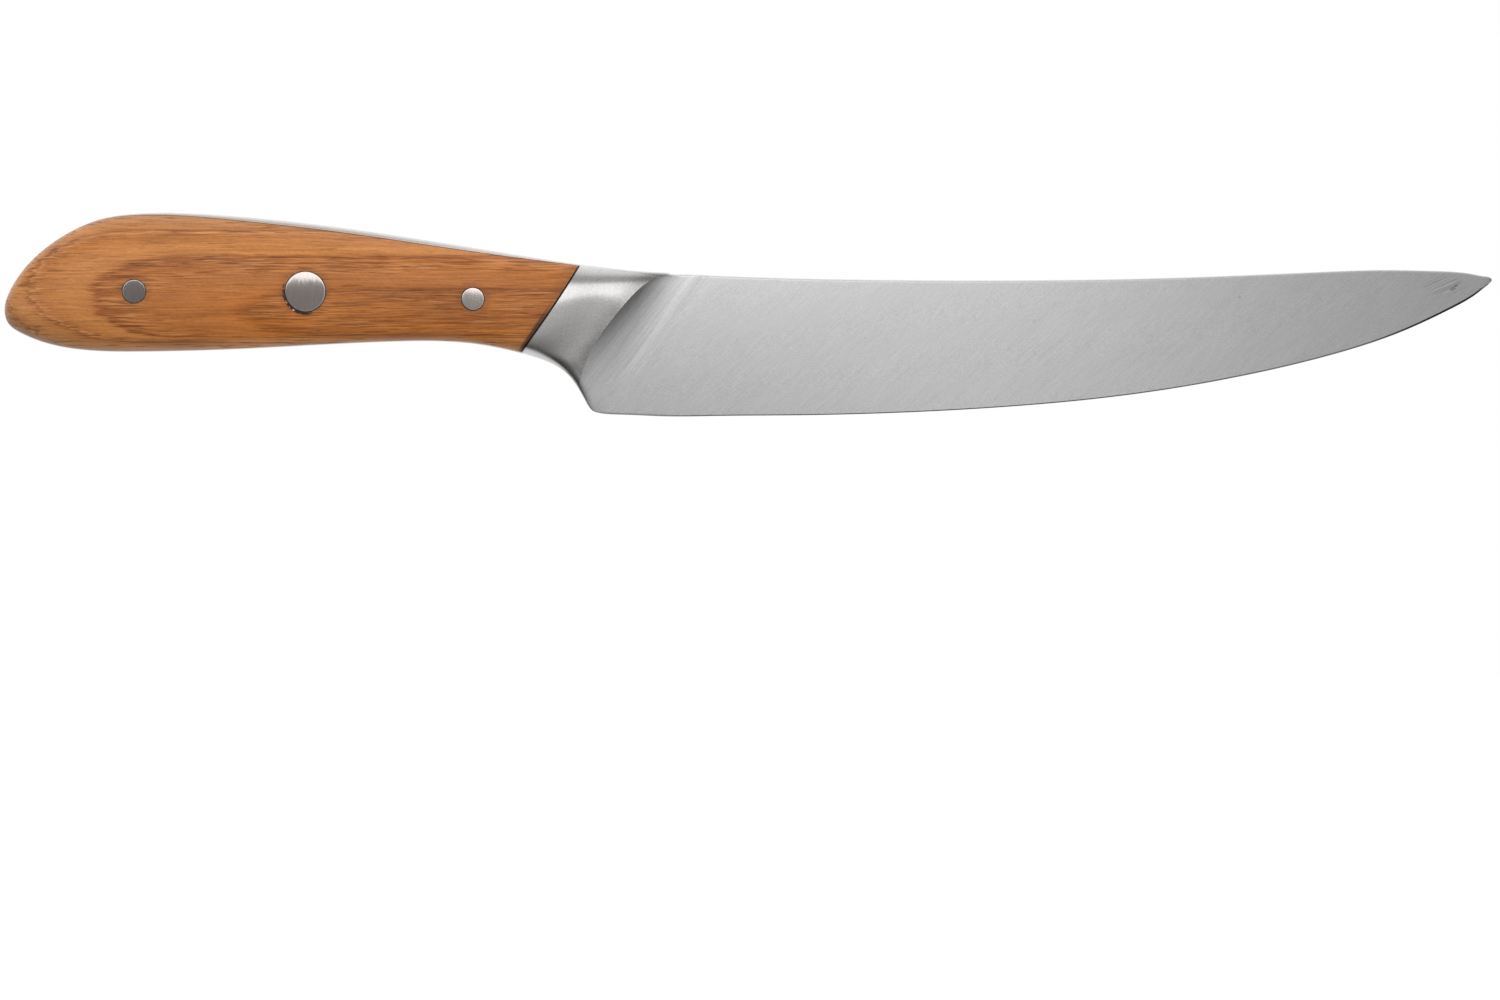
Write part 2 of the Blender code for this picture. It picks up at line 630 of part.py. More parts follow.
def head_rings(rivet, surface, sign):
    """Outer face of a head, from its centre to its rim, on the handle's surface."""
    rings = []
    for share in HEAD_RINGS:
        ring = []
        for x, z in circle(rivet, share * rivet.head):
            hit = surface.ray_cast(Vector((x * MM, sign * 0.05, z * MM)), Vector((0, -sign, 0)))
            ring.append(Vector((x * MM, hit[0].y, z * MM)))
        rings.append(ring)
    return rings


def build_rivet_half(rivet, suffix, surface, sign, steps, mat):
    """A head ground flush with the wood, then the turned steps (y, radius) behind it."""
    rings = head_rings(rivet, surface, sign)
    for y, radius in steps:
        rings.append([Vector((x * MM, y * MM, z * MM)) for x, z in circle(rivet, radius)])
    bm = bmesh.new()
    loft(bm, rings)
    finish(bm, rivet.name + suffix, mat)


def build_rivet(rivet, surfaces, mat):
    """A solid shank with a head on the right, pressed into a sleeve with a head on the left."""
    male = ((-HEAD_SEAT, rivet.head), (-HEAD_SEAT, rivet.shank),
            (SHANK_END - SHANK_CHAMFER, rivet.shank),
            (SHANK_END, rivet.shank - SHANK_CHAMFER), (SHANK_END, 0.0))
    build_rivet_half(rivet, "_male", surfaces["right"], -1, male, mat)
    bore = rivet.shank + SLEEVE_PLAY
    mouth_y = -HEAD_SEAT + SLEEVE_SHORT
    female = ((HEAD_SEAT, rivet.head), (HEAD_SEAT, rivet.sleeve), (mouth_y, rivet.sleeve),
              (mouth_y, bore), (SLEEVE_FLOOR, bore), (SLEEVE_FLOOR, 0.0))
    build_rivet_half(rivet, "_female", surfaces["left"], 1, female, mat)


def main():
    for ob in list(bpy.data.objects):
        bpy.data.objects.remove(ob, do_unlink=True)

    steel = material("steel", color=(0.56, 0.56, 0.565), metallic=1.0, roughness=0.32)
    wood = material("wood", color=(0.53, 0.27, 0.11), metallic=0.0, roughness=0.50)
    pin = material("rivet_steel", color=(0.45, 0.44, 0.43), metallic=1.0, roughness=0.38)
    glue = material("epoxy", color=(0.035, 0.025, 0.02), metallic=0.0, roughness=0.45)

    blade = build_blade(steel)
    surfaces = {side: build_scale(side, sign, wood) for side, sign in SIDES}
    for side, sign in SIDES:
        build_bed(side, sign, glue)
    for rivet in RIVETS:
        cut_hole(blade, f"tang_{rivet.name}", rivet, rivet.sleeve + HOLE_PLAY,
                 -TANG_CUT, TANG_CUT)
    for rivet in RIVETS:
        build_rivet(rivet, surfaces, pin)


main()
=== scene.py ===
"""Full-tang kitchen knife: a forged blade and tang, two wooden scales bedded in adhesive, three
two-part rivets, and the studio round them.

+X runs from the butt to the tip, +Z from the edge to the spine, and the knife is symmetric about
Y = 0; the right side is -Y and faces the camera. Design values are in millimetres and meshes are
built in metres. "Back" is the upper outline (+Z), "belly" the lower one (-Z), and a half
thickness is measured from the plane Y = 0. Studio values are in metres.
"""
import bpy
import bmesh
import math
import numpy as np
from collections import namedtuple
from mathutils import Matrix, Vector
from mathutils.bvhtree import BVHTree


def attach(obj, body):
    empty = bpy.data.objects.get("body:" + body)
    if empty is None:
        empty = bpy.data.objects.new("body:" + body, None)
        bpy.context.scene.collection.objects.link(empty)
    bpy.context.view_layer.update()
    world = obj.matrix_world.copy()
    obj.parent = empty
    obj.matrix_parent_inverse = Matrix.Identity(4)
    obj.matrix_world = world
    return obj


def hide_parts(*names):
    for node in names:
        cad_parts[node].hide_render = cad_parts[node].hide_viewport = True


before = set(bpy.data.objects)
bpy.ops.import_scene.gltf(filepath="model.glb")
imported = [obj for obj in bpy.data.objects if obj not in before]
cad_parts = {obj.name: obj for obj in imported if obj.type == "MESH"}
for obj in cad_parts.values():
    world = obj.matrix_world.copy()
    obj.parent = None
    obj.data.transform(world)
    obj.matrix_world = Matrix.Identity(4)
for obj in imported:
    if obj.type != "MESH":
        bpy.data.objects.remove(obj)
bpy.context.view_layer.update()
MM = 0.001

# ================================================================== outline, points are (x, z)
BUTT = (-166.0, 1.2)                    # rearmost point of the handle
TIP = (166.0, 7.7)                      # point of the blade
BACK_POINTS = (
    BUTT, (-165.2, 4.4), (-162.6, 8.9), (-158.1, 13.8), (-152.0, 18.1), (-144.7, 21.35),
    (-138.0, 22.5), (-131.0, 22.8), (-118.0, 22.25), (-100.0, 20.55), (-77.8, 17.55),
    (-55.4, 14.0), (-37.5, 11.3), (-24.0, 9.75), (-8.0, 8.7), (18.0, 7.9), (56.0, 7.6),
    (95.0, 8.2), (128.0, 9.5), (142.0, 9.92), (153.0, 9.7), (161.0, 9.1), (164.4, 8.5),
    (165.6, 8.2), TIP)
BELLY_POINTS = (
    BUTT, (-165.2, -2.0), (-162.5, -4.1), (-156.3, -6.55), (-149.0, -7.9), (-136.0, -8.35),
    (-118.0, -7.95), (-96.0, -6.85), (-79.0, -6.1), (-70.0, -6.0), (-60.0, -6.75),
    (-51.0, -8.6), (-45.6, -10.25), (-41.8, -12.2), (-39.3, -14.6), (-37.4, -17.5),
    (-36.0, -20.0), (-34.8, -21.5), (-33.2, -22.05), (-28.0, -22.42), (-18.8, -22.78),
    (-8.0, -22.7), (10.0, -22.55), (30.0, -22.1), (56.2, -20.75), (84.0, -18.1),
    (112.0, -13.4), (130.0, -9.1), (145.4, -4.05), (156.6, 1.1), (162.2, 4.3),
    (165.3, 6.75), TIP)

# ================================================================== handle
TANG_HALF = 1.90                        # half thickness of the tang
BED = 0.17                              # thickness of the adhesive bed
PLAY = 0.03                             # gap between touching flat faces
WOOD_IN = TANG_HALF + BED + 2 * PLAY    # half thickness at a scale's inner face
BUTT_INSET = 8.0                        # how far in from the butt the swell's mid line starts
BUTT_INSET_RUN = 0.17                   # share of the handle over which that inset fades
BUTT_CROWDING = 0.13                    # share of the handle over which stations crowd at the butt
JOINT_LEAN_START = 0.45                 # share of the handle from which stations lean to the joint
# swell of the handle along its mid line: (x, half thickness)
SWELL = (
    (-158.0, 8.0), (-152.0, 9.4), (-142.0, 10.2), (-128.0, 10.4), (-110.0, 9.6),
    (-90.0, 8.4), (-72.0, 7.6), (-58.0, 7.15), (-44.0, 6.9))
# height of the tang's crown: (x, at the back, at the belly)
CROWN = (
    (-166.0, 0.16, 0.16), (-150.0, 0.22, 0.15), (-139.0, 0.40, 0.15), (-126.0, 0.62, 0.15),
    (-104.0, 0.92, 0.15), (-75.0, 0.94, 0.16), (-55.0, 0.70, 0.20), (-38.0, 0.42, 0.30))
# fullness of the oval's quarters, 0.55 an ellipse, 1 a box: (x, back, belly)
FULLNESS = (
    (-166.0, 0.70, 0.70), (-146.0, 0.66, 0.72), (-100.0, 0.66, 0.74), (-38.0, 0.58, 0.80))
# the first control point of a quarter: share of its rise, slope against the crown's, widest share
QUARTER_RISE, QUARTER_SLOPE, QUARTER_LIMIT = 0.62, 0.8, 0.45

# ================================================================== bolster and grind
JOINT_BACK, JOINT_BELLY = -37.2, -50.6  # x where the wood-to-bolster joint meets the outline
JOINT_TOP, JOINT_HEIGHT = 11.3, 19.9    # z of the joint at the back, and its height
JOINT_BOW = 0.45                        # how far the joint bows out towards the blade
LIP = 0.42                              # length along x of the adhesive lip at the joint
# crease where the grind runs out, from the back down to the belly: (x, z)
CREASE = (
    (-17.0, 9.24), (-19.8, 8.42), (-22.5, 7.05), (-25.5, 4.50), (-28.5, 1.10), (-31.3, -2.45),
    (-33.4, -5.40), (-35.0, -8.10), (-36.1, -10.60), (-37.0, -13.20), (-37.6, -15.2),
    (-38.0, -16.55))
GRIND_BACK, GRIND_BELLY = -12.5, -31.0  # x where the grind's hollow has run out
GRIND_STEP = 3.1                        # depth of the hollow at the crease
GRIND_FALL = 2.5                        # runout: 2 is a parabola, more is steeper at the crease
GRIND_UNBEND = 0.8                      # how the stations lose the crease's bend; 1 is evenly
STEP_ROUND_BACK, STEP_ROUND_BELLY = 0.34, 0.15  # shares of the crease where the step rounds over
STEP_LOW = 0.40                         # how much shallower the hollow is at the belly
STEP_LOW_START, STEP_LOW_FULL = 0.45, 0.9       # shares down the crease where that happens
FALL_EASE = 0.55                        # bolster's taper: 0 straight, 1 eased at both ends
BLADE_FLAT_X = 44.0                     # stations are upright from here to the tip

# ================================================================== blade
# (x, half thickness at the spine)
SPINE = (
    (-38.0, 1.50), (-10.0, 1.36), (40.0, 1.10), (90.0, 0.90), (130.0, 0.70), (152.0, 0.52),
    (166.0, 0.34))
EDGE_HALF = 0.20                        # half thickness just behind the cutting bevel
HEEL_X = -30.0                          # the edge's height is held level behind this
FLANK = ((-30.0, 1.55), (0.0, 1.45), (40.0, 1.10), (166.0, 1.0))  # (x, convexity), 1 is flat
# cutting bevel, almost nothing at the heel: (x, height)
BEVEL = (
    (-38.0, 0.03), (-24.5, 0.03), (-22.5, 0.20), (40.0, 0.22), (100.0, 0.28), (140.0, 0.36),
    (158.0, 0.46), (166.0, 0.40))
BEVEL_START, BEVEL_FULL = -27.0, -10.0  # x between which the bevel replaces a rounded edge
EDGE_ROUND = 0.30                       # depth of that rounding
SPINE_ROUND = 0.42                      # depth of the spine's rounding

# ================================================================== rivets
Rivet = namedtuple("Rivet", "name x z head sleeve shank")  # the last three are radii
RIVETS = (
    Rivet("rivet_rear", -136.65, 4.98, 2.60, 1.60, 1.05),
    Rivet("rivet_middle", -98.55, 4.94, 4.48, 2.60, 1.75),
    Rivet("rivet_front", -61.3, 3.32, 2.52, 1.60, 1.05))
HEAD_SEAT = 4.9                         # underside of a head, from the middle plane
HOLE_PLAY = 0.08                        # radial play of a rivet in its hole

# ================================================================== wood
# growth layers: nested U-shaped contours that open towards the bolster
# (layer, leftmost x, half height, middle z, length of the rounded end)
LAYERS = (
    (0.0, -167.2, 16.6, 6.3, 30.0), (1.0, -160.0, 12.3, 6.1, 24.0),
    (2.0, -144.5, 8.9, 3.6, 18.0), (3.0, -109.9, 5.0, 0.2, 20.0),
    (4.0, -60.0, 1.6, -1.6, 40.0), (5.0, 20.0, 0.4, -3.0, 60.0))
LAST_LAYER = LAYERS[-1][0]
LAYER_PIVOT = -110.0                    # x about which the contours are tilted
LAYER_PLACE = {"right": (0.0, 0.0), "left": (0.025, -2.2)}  # their (tilt, shift in z)
LAYER_PROBE = 0.6                       # x offset for measuring the layers' slope

# ================================================================== mesh steps
RING = 96                               # sides of a rivet and of its bores
HANDLE_STEPS, BOLSTER_STEPS, GRIND_STEPS, BLADE_STEPS = 320, 90, 64, 460
CROWN_STEPS, SIDE_STEPS = 9, 34
WELD = 1.5e-6                           # vertices closer than this are one, metres


# ================================================================== curves
def hermite(t, a, slope_a, b, slope_b):
    return (a * (2 * t ** 3 - 3 * t * t + 1) + slope_a * (t ** 3 - 2 * t * t + t)
            + b * (3 * t * t - 2 * t ** 3) + slope_b * (t ** 3 - t * t))


def spline(points, start=None, end=None, samples=24001):
    """Dense samples of a C2 cubic by chord length; start and end fix the end directions."""
    p = np.array(points, float)
    chord = np.hypot(*np.diff(p, axis=0).T)
    length = np.r_[0.0, np.cumsum(chord)]
    count = len(p)
    matrix = np.zeros((count, count))
    right = np.zeros((count, 2))
    for i in range(1, count - 1):
        before, after = chord[i - 1], chord[i]
        matrix[i, i - 1:i + 2] = after, 2 * (before + after), before
        right[i] = 3 * (after * (p[i] - p[i - 1]) / before + before * (p[i + 1] - p[i]) / after)
    if start is None:
        matrix[0, :2] = 2, 1
        right[0] = 3 * (p[1] - p[0]) / chord[0]
    else:
        matrix[0, 0] = 1
        right[0] = start
    if end is None:
        matrix[-1, -2:] = 1, 2
        right[-1] = 3 * (p[-1] - p[-2]) / chord[-1]
    else:
        matrix[-1, -1] = 1
        right[-1] = end
    slope = np.linalg.solve(matrix, right)
    at = np.linspace(0, length[-1], samples)
    i = np.clip(np.searchsorted(length, at, side="right") - 1, 0, count - 2)
    width = chord[i][:, None]
    t = ((at - length[i]) / chord[i])[:, None]
    return hermite(t, p[i], slope[i] * width, p[i + 1], slope[i + 1] * width)


def table(rows, x, column=1):
    """Smooth look-up in a table of design values, by monotone cubics."""
    rows = np.array(rows, float)
    knots, values = rows[:, 0], rows[:, column]
    widths = np.diff(knots)
    secants = np.diff(values) / widths
    slopes = np.zeros(len(knots))
    for j in range(1, len(knots) - 1):
        before, after = secants[j - 1], secants[j]
        if before * after > 0:
            slopes[j] = 2 * before * after / (before + after)
    x = np.clip(np.asarray(x, float), knots[0], knots[-1])
    i = np.clip(np.searchsorted(knots, x, side="right") - 1, 0, len(knots) - 2)
    t = (x - knots[i]) / widths[i]
    return hermite(t, values[i], slopes[i] * widths[i], values[i + 1], slopes[i + 1] * widths[i])


def ease(start, end, x):
    t = np.clip((np.asarray(x, float) - start) / (end - start), 0.0, 1.0)
    return t * t * (3 - 2 * t)


BACK = spline(BACK_POINTS, (0.0, 1.0), (0.0, -1.0))
BELLY = spline(BELLY_POINTS, (0.0, -1.0), (0.0, 1.0))
CREASE_LINE = spline(CREASE)


def outline_at(line, x):
    """z on an outline at x, and the outline's unit tangent there."""
    z = np.interp(x, line[:, 0], line[:, 1])
    i = np.clip(np.searchsorted(line[:, 0], x), 2, len(line) - 3)
    tangent = line[i + 2] - line[i - 2]
    return z, tangent / np.hypot(tangent[..., 0], tangent[..., 1])[..., None]


# ================================================================== stations
class Stations:
    """Curves in the XZ plane across the knife; share runs from 0 at the back to 1 at the belly.

    bend(share) is how far a curve leaves its straight chord along x.
    """

    def __init__(self, back_x, belly_x, bend):
        self.bend = bend
        back_z, back_tangent = outline_at(BACK, back_x)
        belly_z, belly_tangent = outline_at(BELLY, belly_x)
        at_butt, at_tip = back_x <= BUTT[0] + 1e-7, back_x >= TIP[0] - 1e-7
        for reached, end in ((at_butt, BUTT), (at_tip, TIP)):
            back_z = np.where(reached, end[1], back_z)
            belly_z = np.where(reached, end[1], belly_z)
        self.back, self.belly = np.c_[back_x, back_z], np.c_[belly_x, belly_z]
        one = np.ones((len(back_x), 1))
        self.middle = self.at(0.5 * one)[:, 0]
        self.back_reach = self.reach(self.back, self.at(0.02 * one)[:, 0], back_tangent)
        self.belly_reach = self.reach(self.belly, self.at(0.98 * one)[:, 0], belly_tangent)

    def reach(self, end, near_end, tangent):
        """Distance from an end to the middle, square to the outline."""
        step = near_end - end
        length = np.hypot(step[:, 0], step[:, 1])
        cross = np.abs(step[:, 0] * tangent[:, 1] - step[:, 1] * tangent[:, 0])
        sine = np.maximum(cross / np.maximum(length, 1e-9), 0.45)
        sine = np.where(length < 1e-6, 1.0, sine)
        return np.maximum(np.hypot(*(self.middle - end).T) * sine, 1e-6)

    def at(self, share):
        p = self.back[:, None, :] + (self.belly - self.back)[:, None, :] * share[..., None]
        p[..., 0] += self.bend(share)
        return p

    def from_back(self, depth):
        """Share at a depth below the back."""
        return 0.5 * np.minimum(depth / self.back_reach[:, None], 1.0)

    def from_belly(self, depth):
        """Share at a height above the belly."""
        return 1.0 - 0.5 * np.minimum(depth / self.belly_reach[:, None], 1.0)


def tent(share):
    return 1.0 - np.abs(2 * share - 1)


def bow(share):
    return 4 * share * (1 - share)


def column(values):
    return np.asarray(values, float)[:, None]


def crease_bend(share):
    """How far the crease lies off its own chord along x."""
    (x0, z0), (x1, z1) = CREASE[0], CREASE[-1]
    z = z0 + (z1 - z0) * share
    x = np.interp(-z, -CREASE_LINE[:, 1], CREASE_LINE[:, 0])
    return x - (x0 + (x1 - x0) * share)


def handle_stations(run, joint_gap=0.0):
    """Stations from the butt, run 0, to joint_gap short of the joint, run 1."""
    back_end, belly_end = JOINT_BACK - joint_gap, JOINT_BELLY - joint_gap
    crowd = BUTT_CROWDING
    crowded = crowd * (run / crowd) ** 2 * 0.5
    run = np.where(run < crowd, crowded, run - crowd * 0.5) / (1 - crowd * 0.5)
    back_x = BUTT[0] + (back_end - BUTT[0]) * run
    lean = ease(JOINT_LEAN_START, 1.0, run) ** 1.3
    belly_x = back_x - (back_end - belly_end) * lean
    inset = BUTT_INSET * (1 - np.minimum(run / BUTT_INSET_RUN, 1.0)) ** 2

    def bend(share):
        return column(inset) * tent(share) + column(JOINT_BOW * lean) * bow(share)

    return Stations(back_x, belly_x, bend)


def bolster_stations(run):
    """Stations from the joint, run 0, to the crease, run 1."""
    back_x = JOINT_BACK + (CREASE[0][0] - JOINT_BACK) * run
    belly_x = JOINT_BELLY + (CREASE[-1][0] - JOINT_BELLY) * run

    def bend(share):
        return JOINT_BOW * bow(share) * column(1 - run) + crease_bend(share) * column(run)

    return Stations(back_x, belly_x, bend)


def grind_stations(run):
    """Stations from the crease, run 0, to the end of the hollow, run 1."""
    back_x = CREASE[0][0] + (GRIND_BACK - CREASE[0][0]) * run
    belly_x = CREASE[-1][0] + (GRIND_BELLY - CREASE[-1][0]) * run
    return Stations(back_x, belly_x,
                    lambda share: crease_bend(share) * column((1 - run) ** GRIND_UNBEND))


def blade_stations(run):
    """Stations from the end of the hollow, run 0, to the tip, run 1, where they crowd."""
    run = run * (1.0 + 0.10 * (1 - run))
    run = 1 - np.maximum(1 - run, 0.0) ** 1.15
    back_x = GRIND_BACK + (TIP[0] - GRIND_BACK) * run
    lean = (GRIND_BACK - GRIND_BELLY) * (1 - ease(GRIND_BACK, BLADE_FLAT_X, back_x))
    return Stations(back_x, back_x - lean, lambda share: 0.0 * share)


# ================================================================== half sections
def handle_half(stations, side_steps=SIDE_STEPS, start=None, spread=1.0):
    """Share and half thickness round every station, back to belly.

    With start, only the part outside that half thickness, and no crown of the tang.
    """
    swell = table(SWELL, stations.middle[:, 0])
    shares, halves = [], []
    for reach, x, side, to_share in (
            (stations.back_reach, stations.back[:, 0], 1, stations.from_back),
            (stations.belly_reach, stations.belly[:, 0], 2, stations.from_belly)):
        crown, full = table(CROWN, x, side), table(FULLNESS, x, side)
        rise = (swell - TANG_HALF) * QUARTER_RISE
        leave = np.minimum(crown + 2 * crown / TANG_HALF * rise * QUARTER_SLOPE,
                           reach * QUARTER_LIMIT)
        # Bezier control points (depth, half thickness) from the tang's side to the mid line
        control = (np.c_[crown, np.full_like(crown, TANG_HALF)],
                   np.c_[leave, TANG_HALF + rise],
                   np.c_[reach - full * (reach - crown), swell],
                   np.c_[reach, swell])

        def curve(t):
            t = t[..., None]
            u = 1 - t
            p0, p1, p2, p3 = (p[:, None] for p in control)
            return u ** 3 * p0 + 3 * u * u * t * p1 + 3 * u * t * t * p2 + t ** 3 * p3

        share_parts, half_parts = [], []
        if start is None:
            first = np.zeros(len(crown))
            steps = np.arange(CROWN_STEPS) / CROWN_STEPS
            share_parts.append(to_share(crown[:, None] * steps[None] ** 2))
            half_parts.append(np.broadcast_to(TANG_HALF * steps[None], (len(crown), CROWN_STEPS)))
        else:
            # bisect for the place where the curve passes start
            low, first = np.zeros(len(crown)), np.ones(len(crown))
            for _ in range(40):
                middle = 0.5 * (low + first)
                short = curve(middle[:, None])[:, 0, 1] < start
                low, first = np.where(short, middle, low), np.where(short, first, middle)
        steps = (np.arange(side_steps + 1) / side_steps) ** spread
        quarter = curve(first[:, None] + (1 - first[:, None]) * steps[None])
        shares.append(np.concatenate(share_parts + [to_share(quarter[..., 0])], 1))
        halves.append(np.concatenate(half_parts + [quarter[..., 1]], 1))
    return tuple(np.concatenate([back, belly[:, -2::-1]], 1) for back, belly in (shares, halves))


def flank_half(x, z):
    """Half thickness of the blade's convex flank, without the hollow."""
    before_tip = TIP[0] - 0.01
    spine_z = np.interp(np.minimum(x, before_tip), BACK[:, 0], BACK[:, 1])
    edge_z = np.interp(np.clip(x, HEEL_X, before_tip), BELLY[:, 0], BELLY[:, 1])
    height = np.clip((z - edge_z) / np.maximum(spine_z - edge_z, 0.4), 0.0, 1.0)
    return EDGE_HALF + (table(SPINE, x) - EDGE_HALF) * (1 - (1 - height) ** table(FLANK, x))


def step_at(share):
    """Extra half thickness where the bolster stands proud of the hollow."""
    back = np.clip(share / STEP_ROUND_BACK, 0.0, 1.0)
    belly = np.clip((1 - share) / STEP_ROUND_BELLY, 0.0, 1.0)
    return (GRIND_STEP * np.sqrt(back * (2 - back) * belly * (2 - belly))
            * (1 - STEP_LOW * ease(STEP_LOW_START, STEP_LOW_FULL, share)))


def blade_half(stations, step):
    """Share and half thickness round every station; step, 0 to 1, is how much hollow remains."""
    height = stations.back_reach + stations.belly_reach
    # roundings shrink and the section thins where the blade is low, at the tip
    small = np.minimum(1.0, height / 3.0)
    thin = np.minimum(1.0, np.sqrt(height / 1.2))
    spine_depth = column(SPINE_ROUND * small)
    belly_x = stations.belly[:, 0]
    bevelled = ease(BEVEL_START, BEVEL_FULL, belly_x)
    edge_depth = EDGE_ROUND * (1 - bevelled) + table(BEVEL, belly_x) * bevelled
    edge_depth, bevelled = column(edge_depth * small), column(bevelled)
    top, bottom = stations.from_back(spine_depth), stations.from_belly(edge_depth)
    step = np.broadcast_to(step, (len(small),))

    def flank(share):
        p = stations.at(share)
        return column(thin) * flank_half(p[..., 0], p[..., 1]) + column(step) * step_at(share)

    angle = 0.5 * np.pi * np.arange(CROWN_STEPS) / CROWN_STEPS
    shares = [stations.from_back(spine_depth * (1 - np.cos(angle))[None])]
    halves = [flank(top) * np.sin(angle)[None]]
    # the flank's rows lie a little closer at the spine and the edge
    g = np.arange(2 * SIDE_STEPS + 1) / (2 * SIDE_STEPS)
    share = top + (bottom - top) * (0.5 * g + 0.25 * (1 - np.cos(np.pi * g)))[None]
    shares.append(share)
    halves.append(flank(share))
    # the edge: rounded, or flat with the bevel
    q = np.arange(CROWN_STEPS - 1, -1, -1)[None] / CROWN_STEPS
    bottom_half = flank(bottom)
    round_half = bottom_half * np.sin(0.5 * np.pi * q)
    round_depth = edge_depth * (1 - np.cos(0.5 * np.pi * q))
    shares.append(stations.from_belly(round_depth * (1 - bevelled) + edge_depth * q * bevelled))
    halves.append(round_half * (1 - bevelled) + bottom_half * q * bevelled)
    return np.concatenate(shares, 1), np.concatenate(halves, 1)


# ================================================================== mesh tools
def add_attribute(mesh, name, values):
    attribute = mesh.attributes.new(name, "FLOAT", "POINT")
    attribute.data.foreach_set("value", np.asarray(values, np.float32))


def grid_faces(rows, columns, closed=False, base=0):
    i, j = np.meshgrid(np.arange(rows - 1), np.arange(columns if closed else columns - 1),
                       indexing="ij")
    this, after = base + i * columns, base + (i + 1) * columns
    k = (j + 1) % columns
    return np.stack([this + j, this + k, after + k, after + j], -1).reshape(-1, 4)


def make(name, vertices, faces, slot, sharp=30.0, **attributes):
    """Weld coincident vertices, drop collapsed faces, face outwards, shade smooth."""
    key = np.round(vertices / WELD).astype(np.int64)
    _, first, welded = np.unique(key, axis=0, return_index=True, return_inverse=True)
    welded = welded.reshape(-1)
    kept = []
    for face in faces:
        corners = []
        for corner in face:
            corner = int(welded[corner])
            if not corners or corners[-1] != corner:
                corners.append(corner)
        if len(corners) > 1 and corners[0] == corners[-1]:
            corners.pop()
        if len(corners) >= 3 and len(set(corners)) == len(corners):
            kept.append(corners)
    mesh = bpy.data.meshes.new(name)
    mesh.from_pydata(vertices[first].tolist(), [], kept)
    mesh.validate()
    for label, values in attributes.items():
        add_attribute(mesh, label, values[first])
    bm = bmesh.new()
    bm.from_mesh(mesh)
    bmesh.ops.remove_doubles(bm, verts=bm.verts, dist=WELD)
    bmesh.ops.recalc_face_normals(bm, faces=bm.faces)
    if bm.calc_volume(signed=True) < 0:
        bmesh.ops.reverse_faces(bm, faces=bm.faces)
    bm.to_mesh(mesh)
    bm.free()
    smooth(mesh, sharp)
    piece = link_object(name, mesh)
    return piece


def smooth(mesh, sharp):
    mesh.shade_smooth()
    mesh.set_sharp_from_angle(angle=math.radians(sharp))


def link_object(name, data):
    thing = bpy.data.objects.new(name, data)
    bpy.context.collection.objects.link(thing)
    return thing


def place(stations, share, half, sign):
    p = stations.at(share)
    return np.stack([p[..., 0] * MM, sign * half * MM, p[..., 1] * MM], -1)


def shell_rings(stations, share, half, inner, sign):
    """Closed rings: the outer face, then back along a flat inner face."""
    outer_row = place(stations, share, half, sign)
    inner_row = place(stations, share, np.full_like(half, inner), sign)[:, -2:0:-1]
    return np.concatenate([outer_row, inner_row], 1)


def shell_faces(rings, outer):
    """Skin over shell rings, with the last ring closed by rungs; outer counts its outer points."""
    rows, n = rings.shape[:2]
    r = (rows - 1) * n + np.arange(n)
    rungs = [(r[j], r[j + 1], r[n - j - 1], r[n - j]) for j in range(1, outer - 2)]
    ends = (r[0], r[1], r[n - 1]), (r[outer - 2], r[outer - 1], r[outer])
    return [*grid_faces(rows, n, closed=True), ends[0], *rungs, ends[1]]


# ================================================================== pieces
def forging():
    """Tang, bolster, grind and blade as one skin.

    zone is 0 on the tang, 1 on the bolster, 2 beyond; run is the share of the way along the
    bolster or the grind; bevel marks the rows at the edge.
    """
    stations = handle_stations(np.linspace(0, 1, HANDLE_STEPS + 1))
    share, half = handle_half(stations)
    n = share.shape[1]
    half[:, CROWN_STEPS:-CROWN_STEPS] = np.minimum(half[:, CROWN_STEPS:-CROWN_STEPS], TANG_HALF)
    none = np.zeros(HANDLE_STEPS + 1)
    blocks = [(stations, share, half, none, none)]

    # the bolster blends the section at the joint into the section at the crease
    joint_share, joint_half = handle_half(bolster_stations(np.zeros(1)))
    crease_share, crease_half = blade_half(bolster_stations(np.ones(1)), step=1.0)
    run = np.linspace(0, 1, BOLSTER_STEPS + 1)
    fall = column((1 - run) * (1 - FALL_EASE) + (1 - ease(0.0, 1.0, run)) * FALL_EASE)
    blocks.append((bolster_stations(run),
                   joint_share + (crease_share - joint_share) * column(run),
                   crease_half + (joint_half - crease_half) * fall,
                   np.ones(BOLSTER_STEPS + 1), run))

    run = np.linspace(0, 1, GRIND_STEPS + 1)[1:]
    stations = grind_stations(run)
    blocks.append((stations, *blade_half(stations, (1 - run) ** GRIND_FALL),
                   np.full(GRIND_STEPS, 2.0), run))

    stations = blade_stations(np.linspace(0, 1, BLADE_STEPS + 1)[1:])
    blocks.append((stations, *blade_half(stations, step=0.0),
                   np.full(BLADE_STEPS, 2.0), np.ones(BLADE_STEPS)))

    zone, run = (np.tile(np.repeat(np.concatenate([block[i] for block in blocks]), n), 2)
                 for i in (3, 4))
    rows = len(zone) // (2 * n)
    sides = [np.concatenate([place(*block[:3], sign) for block in blocks]).reshape(-1, 3)
             for sign in (-1, 1)]
    faces = [grid_faces(rows, n, base=base) for base in (0, rows * n)]
    at_edge = np.tile(np.arange(n) >= n - CROWN_STEPS - 1, 2 * rows).astype(float)
    return make("knife_forging", np.concatenate(sides), np.concatenate(faces), "blade_steel",
                sharp=17.0, zone=zone, run=run, bevel=at_edge)


